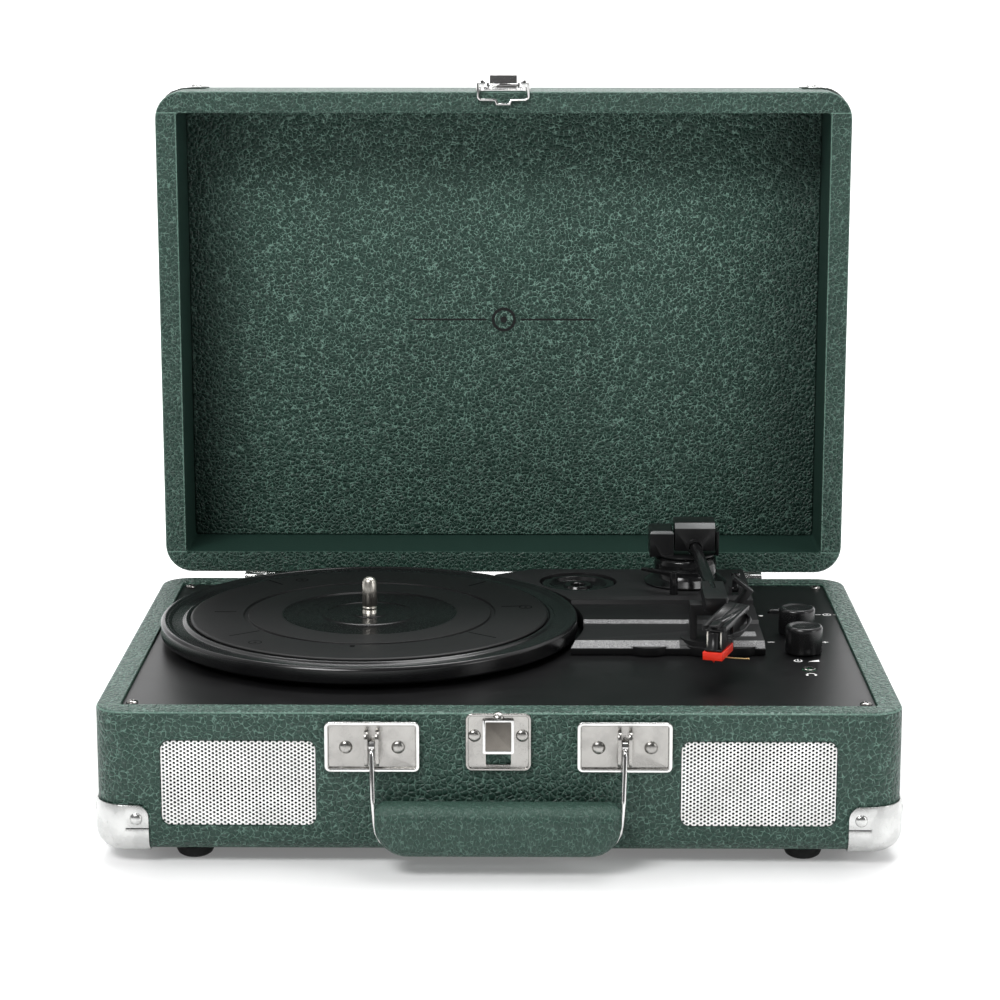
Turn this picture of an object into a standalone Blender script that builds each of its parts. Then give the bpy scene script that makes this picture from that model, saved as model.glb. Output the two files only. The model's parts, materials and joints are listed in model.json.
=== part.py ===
"""A suitcase record player: a leatherette case with a hinged lid, a belt-driven platter, a tonearm,
two front speakers and a carrying handle.

All sizes are in millimetres, in the case's own frame: x to the right, y to the back, z up, with the
middle of the base box over the origin and the feet on z = 0. The shape makers turn them into metres.
The lid is modelled shut and its axis then stands it open.
"""

import math

import bmesh
import bpy
from mathutils import Euler, Vector

MM = 0.001
GAP = 0.3  # between pieces that touch

# The case
CASE_WIDTH = 354.0
CASE_DEPTH = 250.0
FOOT_HEIGHT = 6.0
FOOT_X = 135.0
FOOT_Y = 109.0
FOOT_RADIUS = 8.4
FOOT_STEM = 5.0  # radius of the foot's stem, and of the face it stands on
RIM_TOP = 70.3
WALL = 10.8
CORNER_RADIUS = 14.0
CASE_EDGE = 8.0  # rounding of the outer edges away from the rim
RIM_EDGE = 1.6
FRONT = -CASE_DEPTH / 2
BACK = CASE_DEPTH / 2
LID_DEPTH = 44.6
LID_SKIN = 1.6
LINING = 1.1
SHUT_GAP = 1.0
LID_RIM = RIM_TOP + SHUT_GAP
LID_TOP = LID_RIM + LID_DEPTH

# The lid's hinge
HINGE_Y = BACK + 1.85
HINGE_Z = RIM_TOP + 0.45
HINGE_X = 119.0
HINGE_LENGTH = 33.0
BARREL_RADIUS = 1.5
LID_OPEN_ANGLE = 90.0

# Metal corners
CAP_METAL = 0.8
CAP_WIDTH = 23.7
CAP_HEIGHT = 22.0

# Grilles and speakers
GRILLE_X = 113.7
GRILLE_Z = 37.6
GRILLE_WIDTH = 67.7
GRILLE_HEIGHT = 38.3
GRILLE_RADIUS = 4.0
GRILLE_REBATE = 2.0

# Handle
BRACKET_X = 55.0
BRACKET_Z = 55.1
BRACKET_WIDTH = 41.2
BRACKET_HEIGHT = 22.4
HANDLE_PIVOT_Y = FRONT - 3.9
HANDLE_PIVOT_Z = 56.0
GRIP_HALF_LENGTH = 53.6
GRIP_BOTTOM = 9.3
GRIP_TOP = 32.4
GRIP_CORNER = 14.0
GRIP_THICKNESS = 17.5
GRIP_Y = FRONT - 2.5 - GRIP_THICKNESS / 2
WIRE_RADIUS = 1.1

# Catch and latch
CATCH_HALF_WIDTH = 14.2
CATCH_BOTTOM = 44.3
CATCH_TOP = 70.0
LATCH_HALF_WIDTH = 13.8
BAIL_Y = FRONT - 4.4
BAIL_Z = LID_RIM - 1.6
LEVER_Y = FRONT - 2.6
LEVER_Z = LID_RIM + 8.0

# Deck
DECK_TOP = 68.8
DECK_THICKNESS = 2.0
DECK_UNDER = DECK_TOP - DECK_THICKNESS

# Platter
SPINDLE_X = -63.5
SPINDLE_Y = 12.5
PLATTER_RADIUS = 100.3
PLATTER_TOP = 79.5
PLATTER_UNDER = 71.6
MAT_RADIUS = 86.0
MAT_TOP = 80.1
SPINDLE_RADIUS = 3.5
SPINDLE_TOP = 97.6
BELT_RIM_RADIUS = 60.0
PULLEY_RADIUS = 4.0
MOTOR_X = SPINDLE_X - 57.0
MOTOR_Y = SPINDLE_Y + 57.0
BELT_LEVEL = 74.0

# Player module: the stepped moulding that carries the tonearm
MODULE_RIGHT = 124.5
MODULE_FRONT = -24.5
MODULE_BACK = 112.5
MODULE_TOP = 78.0
ADAPTER_X = 38.5
ADAPTER_Y = 85.4
ADAPTER_RADIUS = 19.0

# Tonearm
PIVOT_X = 93.0
PIVOT_Y = 86.0
TURRET_TOP = 92.0
ARM_AXIS_Z = 101.0
TUBE_Z = 97.3
TUBE_RADIUS = 3.0
HEAD_TURN = 18.5
STYLUS_X = 95.8
STYLUS_Y = -81.5
CUE_X = 116.4
CUE_Y = 59.4
CUE_Z = 80.4
LIFT_RADIUS = 28.0
LIFT_TRAVEL = 4.0
REST_Y = -13.0
CLIP_X = 107.6
CLIP_Z = 86.0

# Controls
KNOB_RADIUS = 8.75
KNOB_TOP = 82.3
KNOB_X = 143.0
VOLUME_Y = -19.2
SELECTOR_Y = 16.0
SWITCH_X = 136.0
SWITCH_Y = 58.0
JACK_X = 142.6
JACK_Y = -48.5
BOARD_TOP = 53.6

# The whole object's middle, front to back, lies over its origin
FRONT_REACH = -GRIP_Y + GRIP_THICKNESS / 2
BACK_REACH = HINGE_Y + (LID_TOP - HINGE_Z) + GAP + CAP_METAL
SHIFT_Y = (FRONT_REACH - BACK_REACH) / 2

LEATHERETTE = ((0.035, 0.085, 0.060, 1), 0.55, 0.0)
CHROME = ((0.78, 0.78, 0.77, 1), 0.16, 1.0)
BLACK_PLASTIC = ((0.018, 0.018, 0.019, 1), 0.45, 0.0)
SATIN_BLACK = ((0.022, 0.022, 0.023, 1), 0.50, 0.0)
RUBBER = ((0.012, 0.012, 0.012, 1), 0.80, 0.0)
NICKEL = ((0.62, 0.60, 0.56, 1), 0.25, 1.0)
WHITE_METAL = ((0.85, 0.85, 0.84, 1), 0.40, 0.0)
RED_PLASTIC = ((0.80, 0.04, 0.02, 1), 0.35, 0.0)
GREEN_PLASTIC = ((0.030, 0.110, 0.055, 1), 0.50, 0.0)
HARDBOARD = ((0.020, 0.020, 0.020, 1), 0.85, 0.0)

for leftover in list(bpy.data.objects):
    bpy.data.objects.remove(leftover, do_unlink=True)

PARTS = bpy.data.collections.new("suitcase_record_player")
bpy.context.scene.collection.children.link(PARTS)


# ---------------------------------------------------------------- shape makers


def metres(*values):
    return Vector([value * MM for value in values])


def place(name, mesh, at=(0, 0, 0)):
    """A new object of this mesh, with its origin at a point in the case's frame."""
    body = bpy.data.objects.new(name, mesh)
    PARTS.objects.link(body)
    body.location = metres(*at)
    return body


def mesh_from(bm, name):
    mesh = bpy.data.meshes.new(name)
    bm.to_mesh(mesh)
    bm.free()
    return mesh


def box(name, low, high, at=(0, 0, 0), upright=0.0, base=0.0, crown=0.0, steps=3):
    """A box between two corners. Its upright edges, then its lower and upper ones, are rounded."""
    low, high, at = Vector(low), Vector(high), Vector(at)
    bm = bmesh.new()
    bmesh.ops.create_cube(bm, size=1.0)
    bmesh.ops.scale(bm, vec=(high - low) * MM, verts=bm.verts)
    bmesh.ops.translate(bm, vec=((low + high) / 2 - at) * MM, verts=bm.verts)
    floor = (low.z - at.z) * MM
    ceiling = (high.z - at.z) * MM

    def flat(edge, height):
        return all(abs(vert.co.z - height) < 1e-7 for vert in edge.verts)

    def soften(edges, radius, count):
        if radius > 0:
            bmesh.ops.bevel(bm, geom=edges, offset=radius * MM, offset_type="OFFSET",
                            segments=count, profile=0.5, affect="EDGES", material=-1)

    sides = [e for e in bm.edges if not flat(e, floor) and not flat(e, ceiling)]
    soften(sides, upright, steps + 2 if upright > 8 else steps)
    soften([e for e in bm.edges if flat(e, floor)], base, steps)
    soften([e for e in bm.edges if flat(e, ceiling)], crown, steps if crown > 3 else 2)
    return place(name, mesh_from(bm, name), at)


def rod(name, radius, start, end, at=(0, 0, 0), sides=24):
    """A round bar between two points."""
    start, end, at = Vector(start), Vector(end), Vector(at)
    along = end - start
    bm = bmesh.new()
    bmesh.ops.create_cone(bm, cap_ends=True, segments=sides, radius1=radius * MM,
                          radius2=radius * MM, depth=along.length * MM)
    bmesh.ops.rotate(bm, cent=(0, 0, 0), matrix=along.to_track_quat("Z", "Y").to_matrix(),
                     verts=bm.verts)
    bmesh.ops.translate(bm, vec=((start + end) / 2 - at) * MM, verts=bm.verts)
    return place(name, mesh_from(bm, name), at)


def turned(name, profile, at=(0, 0, 0), steps=32, facing="Z"):
    """A closed (radius, height) profile turned about the axis through a point."""
    bm = bmesh.new()
    verts = [bm.verts.new((radius * MM, 0, height * MM)) for radius, height in profile]
    for first, second in zip(verts, verts[1:] + verts[:1]):
        if first.co.x > 0 or second.co.x > 0:
            bm.edges.new((first, second))
    body = place(name, mesh_from(bm, name), at)
    screw = body.modifiers.new("Screw", "SCREW")
    screw.steps = steps
    screw.render_steps = steps
    screw.use_merge_vertices = True
    screw.merge_threshold = 0.00001
    settle(body)
    bm = bmesh.new()
    bm.from_mesh(body.data)
    bmesh.ops.remove_doubles(bm, verts=bm.verts, dist=0.00001)
    bmesh.ops.recalc_face_normals(bm, faces=bm.faces)
    heading = Vector({"Z": (0, 0, 1), "FRONT": (0, -1, 0), "BACK": (0, 1, 0)}[facing])
    bmesh.ops.rotate(bm, cent=(0, 0, 0), matrix=heading.to_track_quat("Z", "Y").to_matrix(),
                     verts=bm.verts)
    bm.to_mesh(body.data)
    bm.free()
    return body


def slab(name, outline, thickness, at=(0, 0, 0), facing="Z"):
    """A flat outline, thickened evenly about its plane: level, or standing to the front or side."""
    curve = bpy.data.curves.new(name, "CURVE")
    curve.dimensions = "2D"
    curve.fill_mode = "BOTH"
    curve.extrude = thickness * MM / 2
    spline = curve.splines.new("POLY")
    spline.points.add(len(outline) - 1)
    for point, (across, up) in zip(spline.points, outline):
        point.co = (across * MM, up * MM, 0, 1)
    spline.use_cyclic_u = True
    body = as_mesh(name, curve)
    turn = {"Z": (0, 0, 0), "FRONT": (90, 0, 0), "SIDE": (90, 0, 90)}[facing]
    body.data.transform(turn_matrix(turn))
    body.location = metres(*at)
    return body


def wire(name, route, radius, at=(0, 0, 0), resolution=2, closed=False):
    """A round wire along a route of points."""
    curve = bpy.data.curves.new(name, "CURVE")
    curve.dimensions = "3D"
    curve.bevel_depth = radius * MM
    curve.bevel_resolution = resolution
    curve.use_fill_caps = not closed
    spline = curve.splines.new("POLY")
    spline.points.add(len(route) - 1)
    for point, spot in zip(spline.points, route):
        point.co = (*((Vector(spot) - Vector(at)) * MM), 1)
    spline.use_cyclic_u = closed
    body = as_mesh(name, curve)
    body.location = metres(*at)
    return body


def as_mesh(name, curve):
    """The welded mesh of a curve, in a new object."""
    maker = bpy.data.objects.new(name + "_curve", curve)
    PARTS.objects.link(maker)
    bpy.context.view_layer.update()
    seen = maker.evaluated_get(bpy.context.evaluated_depsgraph_get())
    mesh = bpy.data.meshes.new_from_object(seen)
    bpy.data.objects.remove(maker, do_unlink=True)
    bm = bmesh.new()
    bm.from_mesh(mesh)
    bmesh.ops.remove_doubles(bm, verts=bm.verts, dist=0.00001)
    bmesh.ops.recalc_face_normals(bm, faces=bm.faces)
    bm.to_mesh(mesh)
    bm.free()
    mesh.name = name
    return place(name, mesh)


def turn_matrix(degrees):
    return Euler([math.radians(angle) for angle in degrees]).to_matrix().to_4x4()


def settle(body):
    """Make the modifiers' result the object's own mesh."""
    bpy.context.view_layer.update()
    seen = body.evaluated_get(bpy.context.evaluated_depsgraph_get())
    mesh = bpy.data.meshes.new_from_object(seen)
    body.modifiers.clear()
    body.data = mesh


def combine(body, tools, operation):
    """Join, cut or keep the common part of a body and some tools, which are used up."""
    for tool in tools:
        modifier = body.modifiers.new("Boolean", "BOOLEAN")
        modifier.operation = operation
        modifier.object = tool
        settle(body)
        bpy.data.objects.remove(tool, do_unlink=True)
    return body


def join(body, *tools):
    return combine(body, tools, "UNION")


def cut(body, *tools):
    return combine(body, tools, "DIFFERENCE")


def rounded(half_width, half_height, radius, steps=4):
    """The outline of a rectangle with round corners."""
    points = []
    for quarter, (sx, sy) in enumerate(((1, 1), (-1, 1), (-1, -1), (1, -1))):
        for step in range(steps + 1):
            angle = math.radians(90 * quarter + 90 * step / steps)
            points.append((sx * (half_width - radius) + radius * math.cos(angle),
                           sy * (half_height - radius) + radius * math.sin(angle)))
    return points


def arc(centre, radius, first, last, steps):
    """Points on an arc, between two angles in degrees."""
    spots = []
    for step in range(steps + 1):
        angle = math.radians(first + (last - first) * step / steps)
        spots.append((centre[0] + radius * math.cos(angle), centre[1] + radius * math.sin(angle)))
    return spots


def dome(name, radius, height, at, facing, sides=12):
    """A low round rivet head whose foot is sunk a little into what it holds."""
    profile = [(0, height), (radius * 0.5, height * 0.88), (radius * 0.87, height * 0.5),
               (radius, 0), (radius, -0.4), (0, -0.4)]
    return turned(name, profile, at, sides, facing)


def finish(body, look):
    """Give a piece its own material."""
    colour, roughness, metallic = look
    material = bpy.data.materials.new(body.name)
    material.use_nodes = True
    shader = material.node_tree.nodes["Principled BSDF"]
    shader.inputs["Base Color"].default_value = colour
    shader.inputs["Roughness"].default_value = roughness
    shader.inputs["Metallic"].default_value = metallic
    body.data.materials.clear()
    body.data.materials.append(material)
    body.data.shade_smooth()
    body.data.set_sharp_from_angle(angle=math.radians(35))
    return body


def axis(name, at):
    """An empty on a joint's axis, which carries the pieces that turn about it."""
    empty = bpy.data.objects.new(name, None)
    bpy.context.scene.collection.objects.link(empty)
    empty.location = metres(*at)
    return empty


def carry(parent, *bodies):
    """Parent pieces to an axis without moving them."""
    bpy.context.view_layer.update()
    for body in bodies:
        body.parent = parent
        body.matrix_parent_inverse = parent.matrix_world.inverted()


# ---------------------------------------------------------------- the case


def case_form(name, grow, low, high, base, crown):
    """The case's rounded outline, grown outwards evenly."""
    half_x = CASE_WIDTH / 2 + grow
    half_y = CASE_DEPTH / 2 + grow
    return box(name, (-half_x, -half_y, low), (half_x, half_y, high),
               upright=CORNER_RADIUS + grow, base=base, crown=crown)


def inner_form(name, low, high, shrink=0.0):
    """The space between the case's walls."""
    half_x = CASE_WIDTH / 2 - WALL - shrink
    half_y = CASE_DEPTH / 2 - WALL - shrink
    return box(name, (-half_x, -half_y, low), (half_x, half_y, high), upright=4.0 - shrink)


def make_base():
    shell = case_form("base_shell", 0, FOOT_HEIGHT, RIM_TOP, CASE_EDGE, RIM_EDGE)
    cut(shell, inner_form("well", FOOT_HEIGHT - 5, RIM_TOP + 5))
    for side in (-1, 1):
        middle = (side * GRILLE_X, 0, GRILLE_Z)
        window = slab("window", rounded(GRILLE_WIDTH / 2 - 2, GRILLE_HEIGHT / 2 - 2, 3),
                      40, (middle[0], FRONT, middle[2]), "FRONT")
        rebate = slab("rebate", rounded(GRILLE_WIDTH / 2 + GAP, GRILLE_HEIGHT / 2 + GAP,
                                        GRILLE_RADIUS + GAP),
                      2 * GRILLE_REBATE, (middle[0], FRONT, middle[2]), "FRONT")
        cut(shell, window, rebate)
    cut(shell, box("socket_window", (-98, BACK - 20, 28), (-42, BACK + 5, 48)))
    panel = inner_form("base_bottom_panel", FOOT_HEIGHT + 0.4, FOOT_HEIGHT + 3.4, GAP)
    return [finish(shell, LEATHERETTE), finish(panel, HARDBOARD)]


def make_feet():
    feet = []
    collar = FOOT_HEIGHT - 0.4
    profile = [(0, FOOT_HEIGHT + 0.1), (FOOT_STEM, FOOT_HEIGHT + 0.1), (FOOT_STEM, collar),
               (FOOT_RADIUS, collar), (FOOT_RADIUS, 3.2), (FOOT_RADIUS - 0.8, 1.4),
               (FOOT_RADIUS - 2.4, 0.3), (FOOT_STEM, 0), (0, 0)]
    for end, y in (("front", -FOOT_Y), ("rear", FOOT_Y)):
        for side, x in (("left", -FOOT_X), ("right", FOOT_X)):
            feet.append(finish(turned(f"foot_{end}_{side}", profile, (x, y, 0), 20), RUBBER))
    return feet


def corner_skin(name, low, high, base, crown):
    """A thin metal skin over the whole case, from which the corners are kept."""
    inner, outer = GAP, GAP + CAP_METAL
    skin = case_form(name, outer, low - outer, high + outer,
                     base + outer if base else 0, crown + outer if crown else 0)
    core = case_form("core", inner, low - inner, high + inner,
                     base + inner if base else 0, crown + inner if crown else 0)
    return cut(skin, core)


def make_corner_caps(place_name, low, high, foot_end):
    """Four metal corners at the bottom of the base or at the top of the lid."""
    reach = 60.0  # past the corners, so that the far end of the skin is cut away
    clear = 5.0
    blank_corner = 6.0
    rivet_in = 18.3
    rivet_up = 15.5
    half_x = CASE_WIDTH / 2
    half_y = CASE_DEPTH / 2
    if foot_end:
        skin_size = (low, high + reach, CASE_EDGE, 0)
        blank_span = (low - clear, low + CAP_HEIGHT)
        blank_rounding = {"crown": blank_corner}
        rivet_z = low + rivet_up
    else:
        skin_size = (low - reach, high, 0, CASE_EDGE)
        blank_span = (high - CAP_HEIGHT, high + clear)
        blank_rounding = {"base": blank_corner}
        rivet_z = high - rivet_up
    caps = []
    for end, sy, facing in (("front", -1, "FRONT"), ("rear", 1, "BACK")):
        for side, sx in (("left", -1), ("right", 1)):
            cap = corner_skin(f"{place_name}_corner_{end}_{side}", *skin_size)
            xs = sorted((sx * (half_x - CAP_WIDTH), sx * (half_x + clear)))
            ys = sorted((sy * (half_y - CAP_WIDTH), sy * (half_y + clear)))
            blank = box("blank", (xs[0], ys[0], blank_span[0]), (xs[1], ys[1], blank_span[1]),
                        **blank_rounding)
            combine(cap, [blank], "INTERSECT")
            rivet_at = (sx * (half_x - rivet_in), sy * (half_y + GAP + CAP_METAL), rivet_z)
            join(cap, dome("rivet", 2.8, 1.3, rivet_at, facing))
            caps.append(finish(cap, CHROME))
    return caps


def make_grilles():
    pieces = []
    for side, sx in (("left", -1), ("right", 1)):
        x = sx * GRILLE_X
        outline = rounded(GRILLE_WIDTH / 2, GRILLE_HEIGHT / 2, GRILLE_RADIUS)
        grille = slab(f"grille_{side}", outline, 1.0, (x, FRONT + GRILLE_REBATE - GAP - 0.5,
                                                       GRILLE_Z), "FRONT")
        pieces.append(finish(grille, WHITE_METAL))
        profile = [(0, -4), (7, -3.4), (15, 0), (18.2, 0), (18.2, -1.6), (16.2, -2.4), (11, -12),
                   (11, -19), (0, -19)]
        inside = FRONT + WALL + GAP
        driver = turned(f"speaker_{side}", profile, (x, inside, GRILLE_Z), 20, "FRONT")
        pieces.append(finish(driver, SATIN_BLACK))
    return pieces


# ---------------------------------------------------------------- lid, hinges and latch


def make_lid():
    shell = case_form("lid_shell", 0, LID_RIM, LID_TOP, RIM_EDGE, CASE_EDGE)
    cut(shell, inner_form("hollow", LID_RIM - 5, LID_TOP - LID_SKIN))
    top = LID_TOP - LID_SKIN - GAP
    lining = inner_form("lid_lining", top - LINING, top, GAP)
    return [finish(shell, LEATHERETTE), finish(lining, LEATHERETTE)]


def make_hinges():
    """Two small butt hinges. The base leaf holds the pin and the outer knuckles."""
    fixed, swinging = [], []
    leaf = (BACK + GAP, BACK + GAP + 0.8)
    for side, sx in (("left", -1), ("right", 1)):
        x = sx * HINGE_X
        half = HINGE_LENGTH / 2
        inner = half / 3
        middle = (x, HINGE_Y, HINGE_Z)
        base_leaf = box(f"hinge_base_leaf_{side}", (x - half, leaf[0], RIM_TOP - 17),
                        (x + half, leaf[1], HINGE_Z), middle)
        for a, b in ((-half, -inner - 0.2), (inner + 0.2, half)):
            join(base_leaf, rod("knuckle", BARREL_RADIUS, (x + a, HINGE_Y, HINGE_Z),
                                (x + b, HINGE_Y, HINGE_Z), sides=16))
        cut(base_leaf, box("notch", (x - inner - 0.2, leaf[0] - 1, RIM_TOP - 2.2),
                           (x + inner + 0.2, HINGE_Y + 3, HINGE_Z + 3)))
        join(base_leaf, rod("pin", 0.6, (x - half + 1, HINGE_Y, HINGE_Z),
                            (x + half - 1, HINGE_Y, HINGE_Z), sides=12))
        lid_leaf = box(f"hinge_lid_leaf_{side}", (x - half, leaf[0], RIM_TOP + 2.6),
                       (x + half, leaf[1], LID_RIM + 17), middle)
        tongue = box("tongue", (x - inner + 0.2, leaf[0], HINGE_Z),
                     (x + inner - 0.2, leaf[1], RIM_TOP + 3))
        knuckle = rod("knuckle", BARREL_RADIUS, (x - inner + 0.2, HINGE_Y, HINGE_Z),
                      (x + inner - 0.2, HINGE_Y, HINGE_Z), sides=16)
        join(lid_leaf, tongue, knuckle)
        cut(lid_leaf, rod("bore", 0.95, (x - inner - 1, HINGE_Y, HINGE_Z),
                          (x + inner + 1, HINGE_Y, HINGE_Z), sides=12))
        fixed.append(finish(base_leaf, CHROME))
        swinging.append(finish(lid_leaf, CHROME))
    return fixed, swinging


def make_catch():
    """The plate on the base's front, with the tongue that the bail draws down on."""
    half_height = (CATCH_TOP - CATCH_BOTTOM) / 2
    middle = (0, FRONT - GAP - 0.45, CATCH_BOTTOM + half_height)
    plate = slab("catch_plate", rounded(CATCH_HALF_WIDTH, half_height, 2.7), 0.9, middle, "FRONT")
    rim = slab("rim", rounded(CATCH_HALF_WIDTH, half_height, 2.7), 1.0,
               (0, middle[1] - 0.7, middle[2]), "FRONT")
    cut(rim, slab("inside", rounded(CATCH_HALF_WIDTH - 1.2, half_height - 1.2, 1.6), 5,
                  middle, "FRONT"))
    tongue = box("tongue", (-6.8, middle[1] - 1.5, 52), (6.8, middle[1], 67.5))
    join(plate, rim, tongue)
    cut(plate, box("slot", (-5.5, FRONT - 6, 47), (5.5, FRONT + 1, 51.6)))
    for x in (-10.4, 10.4):
        join(plate, dome("rivet", 2.8, 1.2, (x, middle[1] - 0.45, 60), "FRONT"))
    return finish(plate, CHROME)


def make_latch():
    """The draw latch on the lid's front: plate, thumb lever and wire bail."""
    y = FRONT - GAP
    plate = box("latch_plate", (-LATCH_HALF_WIDTH, y - 0.9, LID_RIM + 1.2),
                (LATCH_HALF_WIDTH, y, LID_RIM + 18))
    for x in (-10.6, 10.6):
        pad = box("pad", (x - 2.6, y - 1.9, LID_RIM + 2.4), (x + 2.6, y - 0.5, LID_RIM + 16.8))
        ear = box("ear", (x - 0.9, BAIL_Y - 1.4, BAIL_Z - 1.4), (x + 0.9, y, LID_RIM + 5.5))
        clearance = box("clearance", (x - 2, y - 2.1, BAIL_Z - 2), (x + 2, y + 3, LID_RIM + 0.2))
        cut(ear, clearance)
        join(plate, pad, ear)
    cut(plate, rod("bail_bore", 1.2, (-20, BAIL_Y, BAIL_Z), (20, BAIL_Y, BAIL_Z), sides=16))
    for x in (-7.9, 7.9):
        join(plate, box("lug", (x - 0.6, LEVER_Y - 1.4, LEVER_Z - 1.4),
                        (x + 0.6, y - 0.5, LEVER_Z + 1.4)))
    join(plate, rod("lever_pin", 0.6, (-8.2, LEVER_Y, LEVER_Z), (8.2, LEVER_Y, LEVER_Z), sides=12))
    lever = box("latch_lever", (-6.9, LEVER_Y - 8.2, LEVER_Z - 0.8),
                (6.9, LEVER_Y, LEVER_Z + 0.8), (0, LEVER_Y, LEVER_Z))
    join(lever, rod("barrel", 1.3, (-6.9, LEVER_Y, LEVER_Z), (6.9, LEVER_Y, LEVER_Z), sides=16))
    cut(lever, rod("bore", 0.9, (-9, LEVER_Y, LEVER_Z), (9, LEVER_Y, LEVER_Z), sides=12))
    drop = 8.6
    route = [(-9.0, 0, 0), (-12.2, 0, 0), (-12.7, 0, -0.6), (-12.7, 0, -drop + 1.4),
             (-11.5, 0, -drop), (-4.0, 0, -drop), (-3.2, 0, -drop - 2.2), (3.2, 0, -drop - 2.2),
             (4.0, 0, -drop), (11.5, 0, -drop), (12.7, 0, -drop + 1.4), (12.7, 0, -0.6),
             (12.2, 0, 0), (9.0, 0, 0)]
    bail = wire("latch_bail", [(x, BAIL_Y + dy, BAIL_Z + dz) for x, dy, dz in route], 0.8,
                (0, BAIL_Y, BAIL_Z))
    return finish(plate, CHROME), finish(lever, CHROME), finish(bail, CHROME)


# ---------------------------------------------------------------- handle


def make_brackets():
    brackets = []
    for side, sx in (("left", -1), ("right", 1)):
        x = sx * BRACKET_X
        y = FRONT - GAP
        half = (BRACKET_WIDTH / 2, BRACKET_HEIGHT / 2)
        plate = slab(f"handle_bracket_{side}", rounded(*half, 2.4), 1.0,
                     (x, y - 0.5, BRACKET_Z), "FRONT")
        frame = slab("frame", rounded(*half, 2.4), 1.4, (x, y - 1.3, BRACKET_Z), "FRONT")
        cut(frame, slab("field", rounded(half[0] - 1.8, half[1] - 1.8, 1.2), 9,
                        (x, y, BRACKET_Z), "FRONT"))
        join(plate, frame)
        for dx in (-2.4, 2.4):
            lug = box("lug", (x + dx - 0.8, HANDLE_PIVOT_Y - 2.6, 47.0),
                      (x + dx + 0.8, y - 0.4, 62.5))
            join(plate, lug)
        join(plate, rod("pin", 0.9, (x - 2.6, HANDLE_PIVOT_Y, HANDLE_PIVOT_Z),
                        (x + 2.6, HANDLE_PIVOT_Y, HANDLE_PIVOT_Z), sides=12))
        for dx in (-11.4, 11.4):
            join(plate, dome("rivet", 2.9, 1.9, (x + dx, y - 1.0, 54.7), "FRONT"))
        brackets.append(finish(plate, CHROME))
    return brackets


def bail_route():
    """Down from one bracket, round under the grip and up to the other."""
    side = GRIP_HALF_LENGTH - 0.2
    low = GRIP_BOTTOM + 0.6
    turn = GRIP_CORNER - 0.4
    right = [(BRACKET_X, HANDLE_PIVOT_Y - 1.9, HANDLE_PIVOT_Z - 0.6),
             (BRACKET_X, HANDLE_PIVOT_Y - 2.6, HANDLE_PIVOT_Z - 4.0),
             (side + 1.0, GRIP_Y + 0.8, GRIP_TOP + 1.5), (side + 0.6, GRIP_Y, GRIP_TOP - 3.5)]
    for x, z in arc((side - turn, low + turn), turn, 0, -90, 5):
        right.append((x + 0.2, GRIP_Y, z))
    left = [(-x, y, z) for x, y, z in reversed(right)]
    return right + left


def make_handle():
    pivot = (0, HANDLE_PIVOT_Y, HANDLE_PIVOT_Z)
    bail = wire("handle_bail", bail_route(), WIRE_RADIUS, pivot)
    for x in (-BRACKET_X, BRACKET_X):
        join(bail, rod("eye", 2.3, (x - 1.1, HANDLE_PIVOT_Y, HANDLE_PIVOT_Z),
                       (x + 1.1, HANDLE_PIVOT_Y, HANDLE_PIVOT_Z), sides=16))
        cut(bail, rod("bore", 1.2, (x - 3, HANDLE_PIVOT_Y, HANDLE_PIVOT_Z),
                      (x + 3, HANDLE_PIVOT_Y, HANDLE_PIVOT_Z), sides=16))
    outline = [(GRIP_HALF_LENGTH - 3, GRIP_TOP), (-GRIP_HALF_LENGTH + 3, GRIP_TOP),
               (-GRIP_HALF_LENGTH, GRIP_TOP - 3)]
    low = GRIP_BOTTOM + GRIP_CORNER
    outline += arc((-GRIP_HALF_LENGTH + GRIP_CORNER, low), GRIP_CORNER, 180, 270, 6)
    outline += arc((GRIP_HALF_LENGTH - GRIP_CORNER, low), GRIP_CORNER, 270, 360, 6)
    outline += [(GRIP_HALF_LENGTH, GRIP_TOP - 3)]
    grip = slab("handle_grip", [(x, z - HANDLE_PIVOT_Z) for x, z in outline], GRIP_THICKNESS,
                (0, GRIP_Y, HANDLE_PIVOT_Z), "FRONT")
    bevel = grip.modifiers.new("Bevel", "BEVEL")
    bevel.width = 4.0 * MM
    bevel.segments = 2
    bevel.limit_method = "ANGLE"
    bevel.angle_limit = math.radians(60)
    settle(grip)
    cut(grip, wire("channel", bail_route(), WIRE_RADIUS + GAP, (0, 0, 0)))
    return finish(bail, CHROME), finish(grip, LEATHERETTE)


# ---------------------------------------------------------------- deck and drive


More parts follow.
